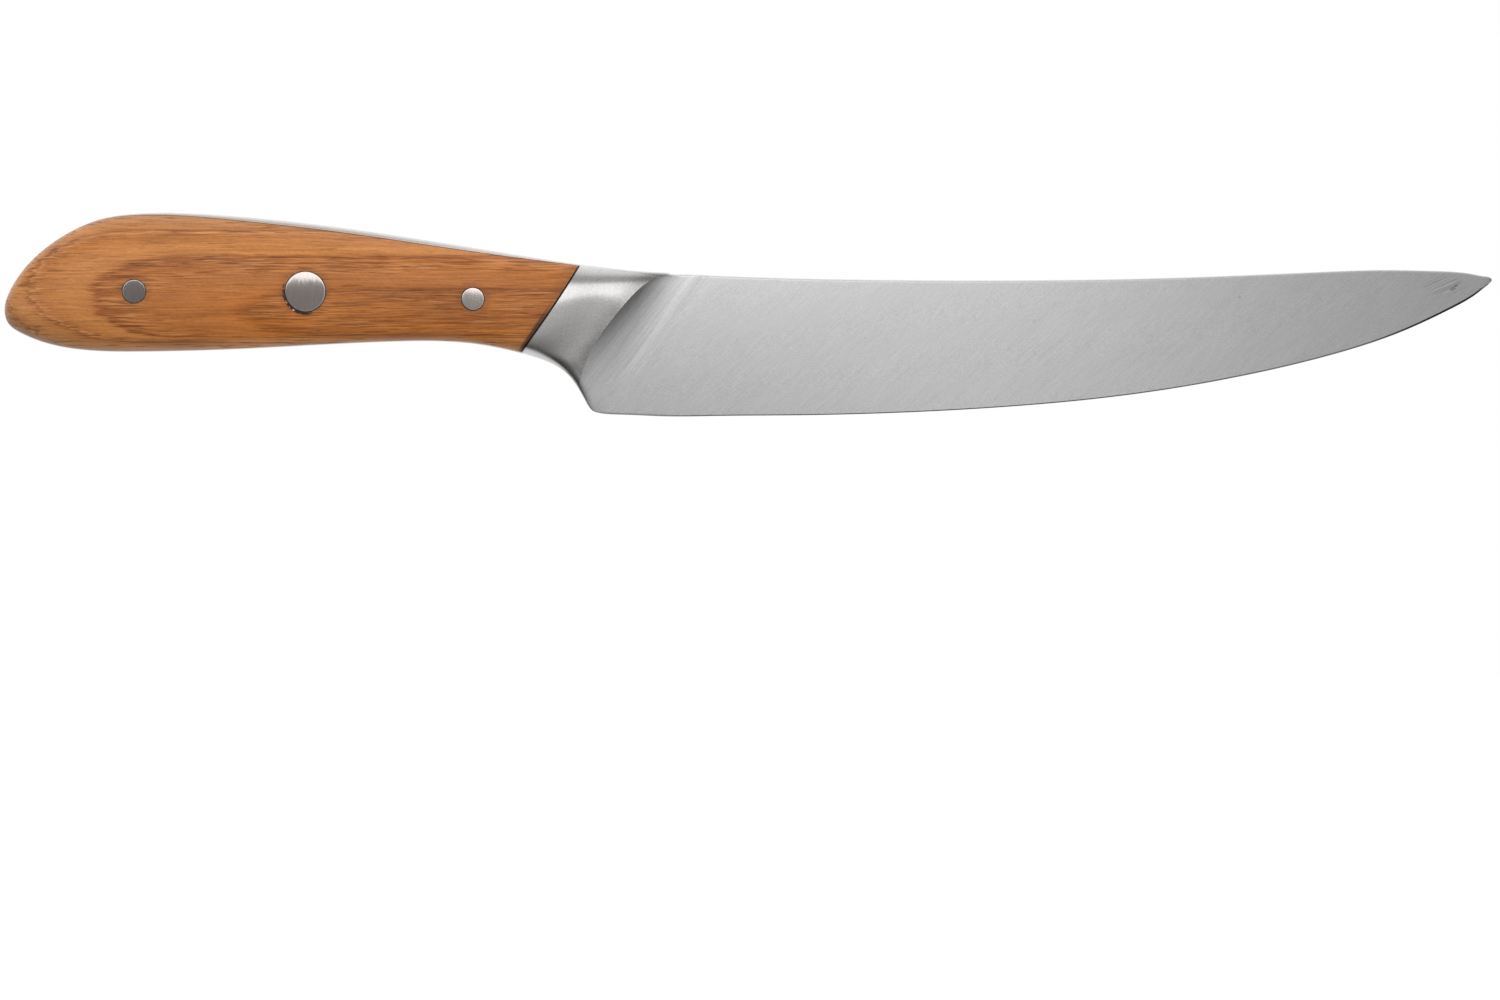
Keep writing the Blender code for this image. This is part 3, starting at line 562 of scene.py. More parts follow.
def layer_number(x, z, tilt, shift):
    """Growth layer of points on the wood's face, solved by bisection on the nested contours."""
    z = z + (x - LAYER_PIVOT) * tilt + shift
    low, high = np.zeros_like(x), np.full_like(x, LAST_LAYER)
    for _ in range(30):
        layer = 0.5 * (low + high)
        left, height, middle, turn = (table(LAYERS, layer, k) for k in (1, 2, 3, 4))
        s = np.clip((left + turn - x) / turn, 0.0, 1.0)
        half = height * np.sqrt(np.maximum(1 - s * s, 0.0))
        inside = (x > left) & (np.abs(z - middle) < half)
        low, high = np.where(inside, layer, low), np.where(inside, high, layer)
    return low


def bore(piece, sign, rivet, radius, near, far):
    """Cut a round hole on a rivet's axis, between two distances from the middle plane."""
    bm = bmesh.new()
    bmesh.ops.create_cone(bm, cap_ends=True, segments=RING, radius1=radius * MM,
                          radius2=radius * MM, depth=(far - near) * MM)
    for vertex in bm.verts:
        x, y, z = vertex.co
        vertex.co = Vector((x + rivet.x * MM, sign * (z + 0.5 * (near + far) * MM),
                            y + rivet.z * MM))
    bmesh.ops.recalc_face_normals(bm, faces=bm.faces)
    mesh = bpy.data.meshes.new("cutter")
    bm.to_mesh(mesh)
    bm.free()
    cutter = link_object("cutter", mesh)
    cut = piece.modifiers.new("bore", "BOOLEAN")
    cut.operation, cut.solver, cut.object = "DIFFERENCE", "EXACT", cutter
    evaluated = piece.evaluated_get(bpy.context.evaluated_depsgraph_get())
    bored = bpy.data.meshes.new_from_object(evaluated)
    piece.modifiers.clear()
    uncut = piece.data
    piece.data = bored
    bpy.data.objects.remove(cutter)
    bpy.data.meshes.remove(uncut)


def wooden_scale(side, sign):
    """A wooden scale: crowned outer face, flat inner face, joint face, bored for the rivets."""
    stations = handle_stations(np.linspace(0, 1, HANDLE_STEPS + 1), LIP)
    share, half = handle_half(stations, start=WOOD_IN, spread=1.15)
    rings = shell_rings(stations, share, half, WOOD_IN, sign)
    piece = make("knife_scale_" + side, rings.reshape(-1, 3),
                 shell_faces(rings, share.shape[1]), "handle_wood", sharp=40.0)
    for rivet in RIVETS:
        bore(piece, sign, rivet, rivet.head + HOLE_PLAY, near=HEAD_SEAT - 0.05, far=20.0)
        bore(piece, sign, rivet, rivet.sleeve + HOLE_PLAY, near=1.0, far=8.0)
    mesh = piece.data
    mesh.name = piece.name
    places = np.zeros(3 * len(mesh.vertices), np.float32)
    mesh.vertices.foreach_get("co", places)
    x, z = places.reshape(-1, 3)[:, 0] / MM, places.reshape(-1, 3)[:, 2] / MM
    ahead, here, behind = (layer_number(x + offset, z, *LAYER_PLACE[side])
                           for offset in (LAYER_PROBE, 0.0, -LAYER_PROBE))
    add_attribute(mesh, "layer", here)
    add_attribute(mesh, "layer_x", (ahead - behind) / (2 * LAYER_PROBE))
    smooth(mesh, 40.0)
    return piece


def adhesive(side, sign):
    """Dark adhesive between tang and wood, with the lip that fills the joint at the bolster."""
    outer = TANG_HALF + PLAY + BED
    end = np.ones(1)
    # (run along the handle, gap to the bolster at its end, whether the ring is in the lip)
    sections = (
        (np.linspace(0, 1, HANDLE_STEPS // 2 + 1)[:-1], LIP, False), (end, LIP - 0.03, False),
        (end, LIP - 0.03, True), (end, LIP - 0.15, True), (end, 0.17, True), (end, 0.04, True))
    rings = []
    for run, gap, in_lip in sections:
        stations = handle_stations(run, gap)
        share, half = handle_half(stations, start=outer + 0.02)
        # the lip sits just below the wood's surface; both stay just inside the outline
        top = np.maximum(half - 0.06, outer) if in_lip else np.full_like(half, outer)
        share = 0.5 + (share - 0.5) * (0.997 if in_lip else 0.996)
        rings.append(shell_rings(stations, share, top, TANG_HALF + PLAY, sign))
    rings = np.concatenate(rings)
    return make("knife_adhesive_" + side, rings.reshape(-1, 3),
                shell_faces(rings, share.shape[1]), "dark_epoxy", sharp=50.0)


def wood_crown(sign):
    """The wood's outer face without its bores, for the rivet heads to follow."""
    stations = handle_stations(np.linspace(0, 1, 161), LIP)
    p = place(stations, *handle_half(stations, side_steps=40, start=WOOD_IN), sign)
    return BVHTree.FromPolygons([tuple(v) for v in p.reshape(-1, 3).tolist()],
                                [tuple(int(i) for i in face) for face in grid_faces(*p.shape[:2])])


def rivet_half(rivet, sign, crown):
    """Half a rivet: head following the wood's crown, then shank (right) or sleeve (left)."""
    angle = 2 * np.pi * np.arange(RING) / RING
    proud = 0.03            # how far the head stands above the wood
    rim, rim_drop = 0.16, 0.75  # radius of the eased rim, and its drop as a share of that
    wall = 0.08             # radial play of the shank in the sleeve

    def circle(radius):
        return rivet.x + radius * np.cos(angle), rivet.z + radius * np.sin(angle)

    def crowned(radius, sink):
        xs, zs = circle(radius)
        ys = [crown.ray_cast(Vector((x * MM, sign * 0.05, z * MM)), Vector((0, -sign, 0)))[0].y
              for x, z in zip(xs, zs)]
        return np.c_[xs * MM, np.array(ys) - sign * sink * MM, zs * MM]

    def flat(radius, y):
        xs, zs = circle(radius)
        return np.c_[xs * MM, np.full(RING, sign * y * MM), zs * MM]

    rings = [crowned(rivet.head * share, -proud)
             for share in (0.0, 0.12, 0.25, 0.4, 0.55, 0.7, 0.82, 0.9)]
    for k in range(6):
        t = 0.5 * math.pi * k / 5
        rings.append(crowned(rivet.head - rim + rim * math.sin(t),
                             -proud + rim * rim_drop * (1 - math.cos(t))))
    rings.append(flat(rivet.head, HEAD_SEAT))
    if sign > 0:
        half, sleeve_end, socket_end = "female", -HEAD_SEAT + 0.35, 4.1
        socket = rivet.shank + wall
        profile = ((rivet.sleeve, HEAD_SEAT), (rivet.sleeve, sleeve_end), (socket, sleeve_end),
                   (socket, socket_end), (0.0, socket_end))
    else:
        half, shank_end, chamfer = "male", -3.7, 0.3
        profile = ((rivet.shank, HEAD_SEAT), (rivet.shank, -3.4),
                   (rivet.shank - chamfer, shank_end), (0.0, shank_end))
    rings += [flat(radius, y) for radius, y in profile]
    faces = grid_faces(len(rings), RING, closed=True)
    piece = make(f"knife_{rivet.name}_{half}", np.concatenate(rings), faces, "rivet_steel",
                 sharp=35.0)
    return piece, f"{rivet.name}_{half}"


# ================================================================== shader values
def set_inputs(node, inputs):
    """Link or set inputs, given in socket order or as a dict by socket name or index."""
    for key, value in inputs.items() if isinstance(inputs, dict) else enumerate(inputs):
        socket = node.inputs[key]
        if isinstance(value, Value):
            value.tree.links.new(value.socket, socket)
        else:
            socket.default_value = value


def add_node(tree, kind, inputs=(), **settings):
    node = tree.nodes.new(kind)
    for key, setting in settings.items():
        setattr(node, key, setting)
    set_inputs(node, inputs)
    return node


def tree_of(inputs):
    return next(value.tree for value in inputs if isinstance(value, Value))


def shader_math(operation, *inputs):
    return Value(add_node(tree_of(inputs), "ShaderNodeMath", inputs, operation=operation))


class Value:
    """A node's output. Arithmetic on it adds math nodes."""

    def __init__(self, node, output=0):
        self.tree = node.id_data
        self.socket = node.outputs[output]

    def __add__(self, other):
        return shader_math("ADD", self, other)

    def __radd__(self, other):
        return shader_math("ADD", other, self)

    def __sub__(self, other):
        return shader_math("SUBTRACT", self, other)

    def __rsub__(self, other):
        return shader_math("SUBTRACT", other, self)

    def __mul__(self, other):
        return shader_math("MULTIPLY", self, other)

    def __pow__(self, other):
        return shader_math("POWER", self, other)

    def __abs__(self):
        return shader_math("ABSOLUTE", self)

    def swing(self, amount):
        """A 0 to 1 pattern made to swing about zero, amount wide from end to end."""
        return (self - 0.5) * amount

    def remap(self, start, end, low, high):
        """Smooth change from low, at start, to high, at end."""
        return Value(add_node(self.tree, "ShaderNodeMapRange", (self, start, end, low, high),
                              interpolation_type="SMOOTHSTEP", clamp=True))

    def rise(self, off, on):
        """0 at off, 1 at on."""
        return self.remap(off, on, 0.0, 1.0)

    def fall(self, full, gone, top=1.0):
        """top at full, 0 at gone."""
        return self.remap(full, gone, top, 0.0)


def highest(first, *others):
    for other in others:
        first = shader_math("MAXIMUM", first, other)
    return first


def distance(x, z):
    return shader_math("SQRT", x * x + z * z)


def oval(x, z, x_scale, z_scale):
    """Squared distance in an oval whose half axes are one over the scales."""
    return (x * x_scale) ** 2.0 + (z * z_scale) ** 2.0


def vector(*parts):
    return Value(add_node(tree_of(parts), "ShaderNodeCombineXYZ", parts))


def split(whole):
    node = add_node(whole.tree, "ShaderNodeSeparateXYZ", [whole])
    return [Value(node, i) for i in range(3)]


def noise(point, scale=1.0, detail=2.0, rough=0.5):
    inputs = {"Vector": point, "Scale": scale, "Detail": detail, "Roughness": rough}
    return Value(add_node(point.tree, "ShaderNodeTexNoise", inputs), "Fac")


def axis_noise(xyz, scales, detail=2.0, rough=0.5):
    """Noise with its own scale along each axis."""
    parts = [part * scale for part, scale in zip(xyz, scales)]
    return noise(vector(*parts), detail=detail, rough=rough)


def brushing(xyz, angle, long, across, shift=0.0, detail=2.0, rough=0.5):
    """Noise drawn out along a direction in the XZ plane: angle in degrees, grain size in mm."""
    x, y, z = xyz
    c, s = math.cos(math.radians(angle)), math.sin(math.radians(angle))
    along = x * (c / long) + z * (s / long)
    over = x * (-s / across) + z * (c / across)
    return noise(vector(along + shift, y * 1.0, over), detail=detail, rough=rough)


def ramp(value, stops):
    """Colour ramp through (position, grey or linear colour) stops."""
    node = add_node(value.tree, "ShaderNodeValToRGB", [value])
    elements = node.color_ramp.elements
    while len(elements) > 1:
        elements.remove(elements[-1])
    for i, (position, colour) in enumerate(stops):
        element = elements.new(position) if i else elements[0]
        element.position = position
        if isinstance(colour, (int, float)):
            colour = (colour,) * 3
        element.color = (*colour, 1.0)
    return Value(node)


def mix(factor, a, b, mode="MIX"):
    a, b = (v if isinstance(v, Value) else (*v, 1.0) for v in (a, b))
    # sockets 6 and 7 are the colour inputs A and B, output 2 the colour result
    node = add_node(tree_of((factor, a, b)), "ShaderNodeMix", {"Factor": factor, 6: a, 7: b},
                    data_type="RGBA", blend_type=mode)
    return Value(node, 2)


def shade(colour, *levels):
    """Multiply a colour by one level per channel."""
    return mix(1.0, colour, vector(*levels), "MULTIPLY")


def attribute(tree, name):
    return Value(add_node(tree, "ShaderNodeAttribute", attribute_name=name), "Fac")


def coordinates(tree, kind="Object"):
    return Value(add_node(tree, "ShaderNodeTexCoord"), kind)


def millimetres(tree):
    """Object coordinates in millimetres."""
    inputs = {0: coordinates(tree), "Scale": 1 / MM}
    return Value(add_node(tree, "ShaderNodeVectorMath", inputs, operation="SCALE"))


def bump(height, metres, strength=1.0):
    inputs = {"Strength": strength, "Distance": metres, "Height": height}
    return Value(add_node(height.tree, "ShaderNodeBump", inputs))


def srgb(*channels):
    """Linear colour from 8-bit sRGB channels."""
    return tuple(c / 255 / 12.92 if c / 255 <= 0.04045 else ((c / 255 + 0.055) / 1.055) ** 2.4
                 for c in channels)


def new_material(name):
    material = bpy.data.materials.new(name)
    material.use_nodes = True
    tree = material.node_tree
    tree.nodes.clear()
    surface = add_node(tree, "ShaderNodeBsdfPrincipled")
    add_node(tree, "ShaderNodeOutputMaterial", {"Surface": Value(surface)})
    return material, surface, tree


def joint_x(z):
    """x of the straight line along the wood-to-bolster joint at height z."""
    return JOINT_BACK + (z - JOINT_TOP) * ((JOINT_BACK - JOINT_BELLY) / JOINT_HEIGHT)


# ================================================================== materials
# Positions given to rise, fall and remap are millimetres unless the value is a noise or a share.
def blade_nicks(point, dx, dz):
    """A dark oval patch near the tip and a dot on the flank; dx, dz are from the patch."""
    x, _, z = split(point)
    along = dx * 0.86 + dz * 0.50           # the patch slopes 30 degrees up to the tip
    over = dx * -0.50 + dz * 0.86
    patch = (oval(along, over, x_scale=0.75, z_scale=2.1).fall(full=0.25, gone=1.0)
             * noise(point, scale=1.8, detail=1.0).rise(off=0.34, on=0.52))
    dot = distance(x - 109.7, z - 3.75).fall(full=0.12, gone=0.34, top=0.8)
    return highest(patch, dot)


def steel_material():
    """Brushed blade with wheel marks in its hollow; blasted bolster and tang."""
    material, surface, tree = new_material("blade_steel")
    point = millimetres(tree)
    xyz = x, y, z = split(point)
    zone, run, bevel = (attribute(tree, name) for name in ("zone", "run", "bevel"))
    on_blade = zone.rise(off=1.35, on=1.65)  # 0 on tang and bolster, 1 from the crease on
    on_tang = zone.fall(full=0.35, gone=0.65)

    # a band along the crease fills the hollow and runs out on the flank
    across = x * 0.80 + z * -0.60
    band = across.rise(off=-22.5, on=-19.8) * across.rise(off=-9.0, on=-14.5)
    band = band * on_blade * z.remap(start=-19.0, end=-8.0, low=0.25, high=1.0)

    # brushing of the flanks
    fine = brushing(xyz, angle=43.0, long=3.2, across=0.28, rough=0.6)
    hatch = brushing(xyz, angle=41.0, long=7.0, across=0.42, shift=3.0)
    cross = brushing(xyz, angle=52.0, long=5.0, across=0.24, shift=9.0, detail=1.0)
    wide = brushing(xyz, angle=44.0, long=50.0, across=3.0, shift=5.0, detail=1.0)
    grain = noise(point, scale=2.8, detail=1.0)
    brushed = (fine.swing(0.16) + hatch.swing(0.13) + cross.swing(0.08) + wide.swing(0.04)
               + grain.swing(0.30))
    # marks of the wheel lie along the crease
    coarse = brushing(xyz, angle=53.0, long=34.0, across=0.34, shift=7.0, rough=0.6)
    bands = brushing(xyz, angle=53.0, long=60.0, across=1.25, shift=2.0)
    bright = brushing(xyz, angle=53.0, long=30.0, across=0.30, shift=1.0, detail=1.0)
    marks = coarse.swing(0.55) + bands.swing(0.42)
    marks = marks * 0.88 + bright.rise(off=0.56, on=0.72) * 0.12
    brushed = brushed + band * marks
    # painted light: the hollow's colour is a little brighter away from the crease, and near the
    # spine, standing in for light it reflects
    brushed = brushed + across.rise(off=-21.2, on=-19.6) * across.rise(off=-13.5, on=-16.5) * 0.10
    brushed = brushed + z.rise(off=4.5, on=8.0) * across.rise(off=-15.5, on=-19.0) * 0.20
    # a smear of hatching near the tip
    dx, dz = x - 157.5, z - 5.9
    smear = oval(dx + 2.6, dz - 0.6, x_scale=0.19, z_scale=0.40).fall(full=0.3, gone=1.2)
    rub = brushing(xyz, angle=24.0, long=8.0, across=0.30, shift=11.0, detail=1.0)
    brushed = brushed + smear * (rub.swing(0.85) - 0.07)

    # bolster and tang are blasted: short even grain with a faint run along the handle
    blast = noise(point, scale=2.4, rough=0.7)
    pebble = axis_noise(xyz, (1.3, 2.0, 2.0))
    sheen = axis_noise(xyz, (0.35, 1.0, 1.2))
    tang_lines = axis_noise(xyz, (0.12, 7.0, 2.5))
    blasted = (blast.swing(0.42) + pebble.swing(0.15) + sheen.swing(0.12)
               + tang_lines.swing(0.16) * on_tang)
    # painted shade: the bolster's colour darkens towards the crease and along its back near the
    # crease, dimming its reflected highlight there
    shade_by_crease = run.rise(off=0.70, on=1.0) * z.rise(off=-6.0, on=-1.0)
    high = run.rise(off=0.55, on=0.85) * z.rise(off=4.8, on=7.0)
    blasted = blasted - (shade_by_crease * 0.32 + high * 0.15) * (1.0 - on_tang)
    # the bolster is darker next to the lower end of the joint
    dark_by_joint = (x - joint_x(z)).rise(off=0.45, on=0.12) * z.rise(off=6.0, on=-5.0)
    blasted = blasted - dark_by_joint * (1.0 - on_tang) * 0.62

    # brightness of the whole: clouding, then specks and nicks
    cloud = noise(point, scale=0.035)
    speck = noise(point, scale=0.62, detail=0.0).rise(off=0.84, on=0.88)
    tone = brushed * on_blade + blasted * (1.0 - on_blade) + cloud.swing(0.04)
    tone = tone - (speck * 0.07 + blade_nicks(point, dx, dz) * 0.42)
    level = 1.0 + tone
    base = mix(on_blade, srgb(207, 205, 203), srgb(207, 207, 207))
    base = shade(base, level, level, level)
    # the tang is coloured brown along the belly and round the butt
    brown_tang = on_tang * highest(z.rise(off=3.0, on=-2.0), x.rise(off=-146.0, on=-154.0))
    base = mix(brown_tang * 0.85, base, srgb(176, 136, 104))
    # painted shade: along the back, next to the wood, the tang's colour is warmer and duller
    shade_by_wood = abs(y).rise(off=1.30, on=TANG_HALF) * z.rise(off=2.0, on=5.0)
    shade_by_wood = shade_by_wood * x.remap(start=-82.0, end=-56.0, low=0.62, high=0.25)
    base = mix(shade_by_wood * on_tang, base, srgb(160, 140, 126))

    # the blade is rougher than the rest, its edge smoother
    rough = on_blade * 0.11 + 0.25 + (fine + blast - 1.0) * 0.08 - bevel * on_blade * 0.18
    height = ((fine * 0.6 + hatch * 0.4) * on_blade + coarse * band * 1.4
              + (blast + pebble) * (1.0 - on_blade) * 0.45)
    set_inputs(surface, {"Base Color": base, "Metallic": 1.0, "Roughness": rough,
                         "Normal": bump(height, metres=0.0000022)})
    return material


# colour across the growth layers, from the rim inwards: (layer, sRGB)
WOOD_COLOURS = (
    (0.00, (158, 110, 73)), (0.16, (177, 122, 78)), (0.26, (175, 117, 69)),
    (0.31, (118, 72, 38)), (0.37, (175, 116, 65)), (0.62, (185, 123, 68)),
    (0.86, (181, 117, 61)), (0.95, (162, 98, 46)), (0.985, (144, 86, 39)),
    (1.03, (195, 130, 74)), (1.12, (183, 116, 59)), (1.26, (179, 112, 55)),
    (1.45, (187, 119, 60)), (1.70, (194, 126, 65)), (1.88, (190, 121, 60)),
    (1.955, (166, 97, 40)), (1.985, (145, 80, 29)), (2.04, (164, 95, 40)),
    (2.25, (175, 105, 46)), (2.50, (180, 109, 49)), (2.72, (179, 108, 47)),
    (2.86, (174, 102, 40)), (2.965, (153, 85, 26)), (3.03, (164, 94, 34)),
    (3.20, (172, 101, 42)), (3.45, (180, 108, 46)), (3.70, (176, 104, 43)),
    (3.93, (166, 96, 37)), (3.99, (149, 83, 29)), (4.06, (170, 100, 40)),
    (5.00, (174, 103, 43)))
# how porous the wood is across the layers: (layer, 0 to 1)
WOOD_PORES = (
    (0.00, 0.30), (0.30, 0.35), (0.75, 0.30), (0.92, 0.55), (1.10, 0.85), (1.32, 0.20),
    (1.82, 0.08), (1.95, 0.7), (2.02, 1.0), (2.30, 0.95), (2.52, 0.30), (2.90, 0.25),
    (3.00, 0.9), (3.50, 0.75), (3.80, 0.5), (4.0, 0.85), (5.0, 0.7))
# pale beads at the rim of the middle rivet: (direction x, direction z, radius)
BEADS = ((-0.55, -0.84, 0.26), (-0.72, -0.70, 0.13), (-0.85, -0.52, 0.11))
BEAD_GAP = 0.42                         # from the rivet's rim to a bead's centre


def grime_and_seam_shadow(point, xyz):
    """Dirt round the rivets and along the joint; next to the tang, a dark line of adhesive and
    painted shadow.
    """
    x, y, z = xyz
    patches = []
    for rivet in RIVETS:
        dx, dz = x - rivet.x, z - rivet.z
        wobble = noise(point, scale=0.9)
        outside = distance(dx, dz) - rivet.head + wobble.swing(0.5)
        ring = outside.fall(full=0.02, gone=0.30, top=0.9)
        halo = outside.fall(full=0.1, gone=2.2, top=0.22)
        # a broken blob below and behind the head, strongest at the large one
        broken = noise(vector(x, 0.0, z), scale=0.85, detail=1.0).rise(off=0.30, on=0.48)
        blob = (dx + dz).rise(off=-1.5, on=-4.5) * broken
        blob = blob * outside.fall(full=0.45, gone=0.90) * (1.0 if rivet.head > 4 else 0.35)
        patches.append(highest(ring, halo, blob))
    behind_joint = joint_x(z) - x - (LIP - 0.2)
    smut = behind_joint.fall(full=0.0, gone=3.5, top=0.5) * noise(point, scale=0.25, detail=3.0)
    low_joint = (behind_joint.fall(full=0.35, gone=1.30, top=0.85)
                 * z.rise(off=6.0, on=-3.0))
    # painted on the wood next to the tang, high up: the dark adhesive line and painted shadow in
    # it
    tang_line_and_shadow = (abs(y).fall(full=WOOD_IN + 0.06, gone=WOOD_IN + 0.34, top=0.9)
            * z.rise(off=2.0, on=12.0))
    return highest(*patches, smut, low_joint, tang_line_and_shadow)


def wood_material(seed):
    """Ring-porous hardwood whose layers show as nested loops; seed shifts the fibres."""
    material, surface, tree = new_material("handle_wood_%d" % seed)
    point = millimetres(tree)
    xyz = x, y, z = split(point)
    layer_here, layer_slope = attribute(tree, "layer"), attribute(tree, "layer_x")
    # fibres follow the handle: towards the bolster they fan out from z = 2, and they waver
    fan = (z - 2.0) * x.rise(off=-110.0, on=-40.0) * 0.16
    fibre_z = z + fan + axis_noise(xyz, (0.035, 0.1, 0.10), detail=1.0) * 1.0

    def fibre(long, across, y_scale, shift, detail=2.0, rough=0.5):
        """Noise drawn out along the fibres; long and across are grain sizes."""
        stretched = vector(x * (1 / long) + (shift + seed), y * y_scale, fibre_z * (1 / across))
        return noise(stretched, detail=detail, rough=rough)

    def streaks(long, across, **options):
        return fibre(long, across, 1 / (across * 7.0), **options)

    # jagged borders of the layers
    tooth = streaks(long=7.0, across=0.30, shift=2.0, detail=3.0, rough=0.65)
    long_tooth = streaks(long=16.0, across=1.1, shift=5.0)
    waver = axis_noise(xyz, (0.05, 0.08, 0.16), detail=1.0)
    jag = tooth.swing(6.0) + long_tooth.swing(4.0)
    jag = highest(shader_math("MINIMUM", jag * layer_slope, 0.16), -0.16)
    layer = layer_here + jag + long_tooth.swing(0.08) + waver.swing(0.10)
    depth = layer * (1 / LAST_LAYER)
    colour = ramp(depth, [(at / LAST_LAYER, srgb(*rgb)) for at, rgb in WOOD_COLOURS])
    porous = ramp(depth, [(at / LAST_LAYER, amount) for at, amount in WOOD_PORES])

    # brightness: broad drift, fibre streaks, and thin growth lines stronger in the rim
    lines = axis_noise((layer, x, z), (9.0, 0.012, 0.012), detail=1.0)
    rim = layer.rise(off=0.9, on=0.35)
    drift = axis_noise(xyz, (0.018, 0.05, 0.07))
    streak = streaks(long=30.0, across=0.80, shift=1.0, detail=3.0, rough=0.6)
    hair = streaks(long=12.0, across=0.36, shift=4.0, rough=0.6)
    grain = axis_noise(xyz, (1.1, 0.6, 2.1), detail=1.0)
    value = (1.05 + drift.swing(0.24) + streak.swing(0.46 + porous * 0.30)
             + hair.swing(0.60 + porous * 1.10) + grain.swing(0.34)
             + lines.swing(0.22 + rim * 0.30))
    # a lighter area low round the middle rivet, a darker one behind the front rivet
    lighter = x.rise(off=-122.0, on=-114.0) * x.rise(off=-78.0, on=-104.0)
    value = value + lighter * z.rise(off=8.0, on=2.5) * 0.17
    darker = ((x.rise(off=-84.0, on=-76.0) * x.rise(off=-60.0, on=-66.0))
              * (z.rise(off=7.5, on=5.0) * z.rise(off=-1.0, on=1.5)))
    value = value - darker * 0.15
    # green and blue swing further, so that dark wood is also redder
    colour = shade(colour, value, value ** 1.12, value ** 1.3)

    def dashes(long, across, shift, off, on, detail=1.0):
        pattern = fibre(long, across, 0.12 / across, shift, detail)
        return (pattern - (1.0 - porous) * 0.10).rise(off, on)

    # pores as thin dark dashes, and pale flecks
    pore = highest(
        dashes(long=6.5, across=0.30, shift=0.0, off=0.535, on=0.64, detail=1.5),
        dashes(long=12.0, across=0.42, shift=4.0, off=0.57, on=0.67) * 0.8)
    fleck = dashes(long=9.0, across=0.34, shift=8.0, off=0.54, on=0.64)
    colour = mix(fleck * porous * 0.45, colour, srgb(222, 156, 100))
    colour = mix(pore * (0.42 + porous * 0.20), colour, srgb(108, 56, 22))
    # dark dirt, with a dark adhesive line and painted shadow along the tang
    colour = mix(grime_and_seam_shadow(point, xyz), colour, srgb(62, 35, 25))

    middle = RIVETS[1]
    for side_x, side_z, radius in BEADS:
        dx = x - (middle.x + side_x * (middle.head + BEAD_GAP))
        dz = z - (middle.z + side_z * (middle.head + BEAD_GAP))
        bead = distance(dx, dz).rise(off=radius, on=radius * 0.5)
        colour = mix(bead * 0.75, colour, srgb(236, 214, 194))

    height = (hair + streak) * 0.35 - pore
    set_inputs(surface, {"Base Color": colour,
                         "Roughness": 0.44 + pore * 0.25 + streak.swing(0.14),
                         "Specular IOR Level": 0.35,
                         "Normal": bump(height, metres=0.00003, strength=0.55)})
    return material


def rivet_material():
    """Steel ground by a belt that ran across the handle, which left the normals leaning."""
    material, surface, tree = new_material("rivet_steel")
    point = millimetres(tree)
    xyz = split(point)
    line = axis_noise(xyz, (4.6, 0.4, 0.40), rough=0.7)
    wide_line = axis_noise(xyz, (2.0, 0.4, 0.22))
    grain = noise(point, scale=4.0)
    # masks for the rear and front rivets: painted shade makes the rear one's colour darker,
    # painted light makes the front one's lighter, and the front one is rougher
    rear = xyz[0].fall(full=-122.0, gone=-120.0)
    front = xyz[0].rise(off=-80.0, on=-78.0)
    level = 0.98 + (line.swing(0.22) + wide_line.swing(0.14)) + grain.swing(0.16)
    level = level * (1.0 + front * 0.12 - rear * 0.27)
    # lean of the normal towards -Z, uneven along the grinding lines
    lean = (0.045 + (rear * 0.004 + front * -0.004)
            + (wide_line.swing(0.055) + line.swing(0.03)))
    bumped = bump(line + wide_line * 1.2, metres=0.000006)
    leaning = add_node(tree, "ShaderNodeVectorMath", (bumped, vector(0.0, 0.0, lean)),
                       operation="SUBTRACT")
    unit = add_node(tree, "ShaderNodeVectorMath", [Value(leaning)], operation="NORMALIZE")
    set_inputs(surface, {"Base Color": shade(srgb(212, 203, 197), level, level, level),
                         "Metallic": 1.0, "Roughness": 0.11 + front * 0.045 + line * 0.06,
                         "Normal": Value(unit)})
    return material


def epoxy_material():
    material, surface, tree = new_material("dark_epoxy")
    grain = noise(millimetres(tree), scale=1.2, detail=3.0)
    colour = ramp(grain, [(0.3, srgb(18, 9, 8)), (0.7, srgb(44, 27, 23))])
    set_inputs(surface, {"Base Color": colour, "Roughness": 0.40 + grain * 0.3,
                         "Specular IOR Level": 0.25,
                         "Normal": bump(grain, metres=0.00003, strength=0.5)})
    return material


# ================================================================== build the knife
def dress(piece, material, node):
    piece.data.materials.clear()
    piece.data.materials.append(material)
    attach(piece, "root")
    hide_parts(node)


steel, rivet_steel, epoxy = steel_material(), rivet_material(), epoxy_material()
blade = forging()
dress(blade, steel, "forged_blade")
for side, sign, seed in (("right", -1, 0), ("left", 1, 3)):
    wood_piece = wooden_scale(side, sign)
    dress(wood_piece, wood_material(seed), "scale_" + side)
    dress(adhesive(side, sign), epoxy, "adhesive_bed_" + side)
    crown = wood_crown(sign)
    for rivet in RIVETS:
        piece, node = rivet_half(rivet, sign, crown)
        dress(piece, rivet_steel, node)


# ================================================================== studio, metres
def plane(name, centre, size):
    bm = bmesh.new()
    bmesh.ops.create_grid(bm, x_segments=8, y_segments=8, size=size / 2)
    bmesh.ops.translate(bm, verts=bm.verts, vec=Vector(centre))
    mesh = bpy.data.meshes.new(name)
    bm.to_mesh(mesh)
    bm.free()
    return link_object(name, mesh)


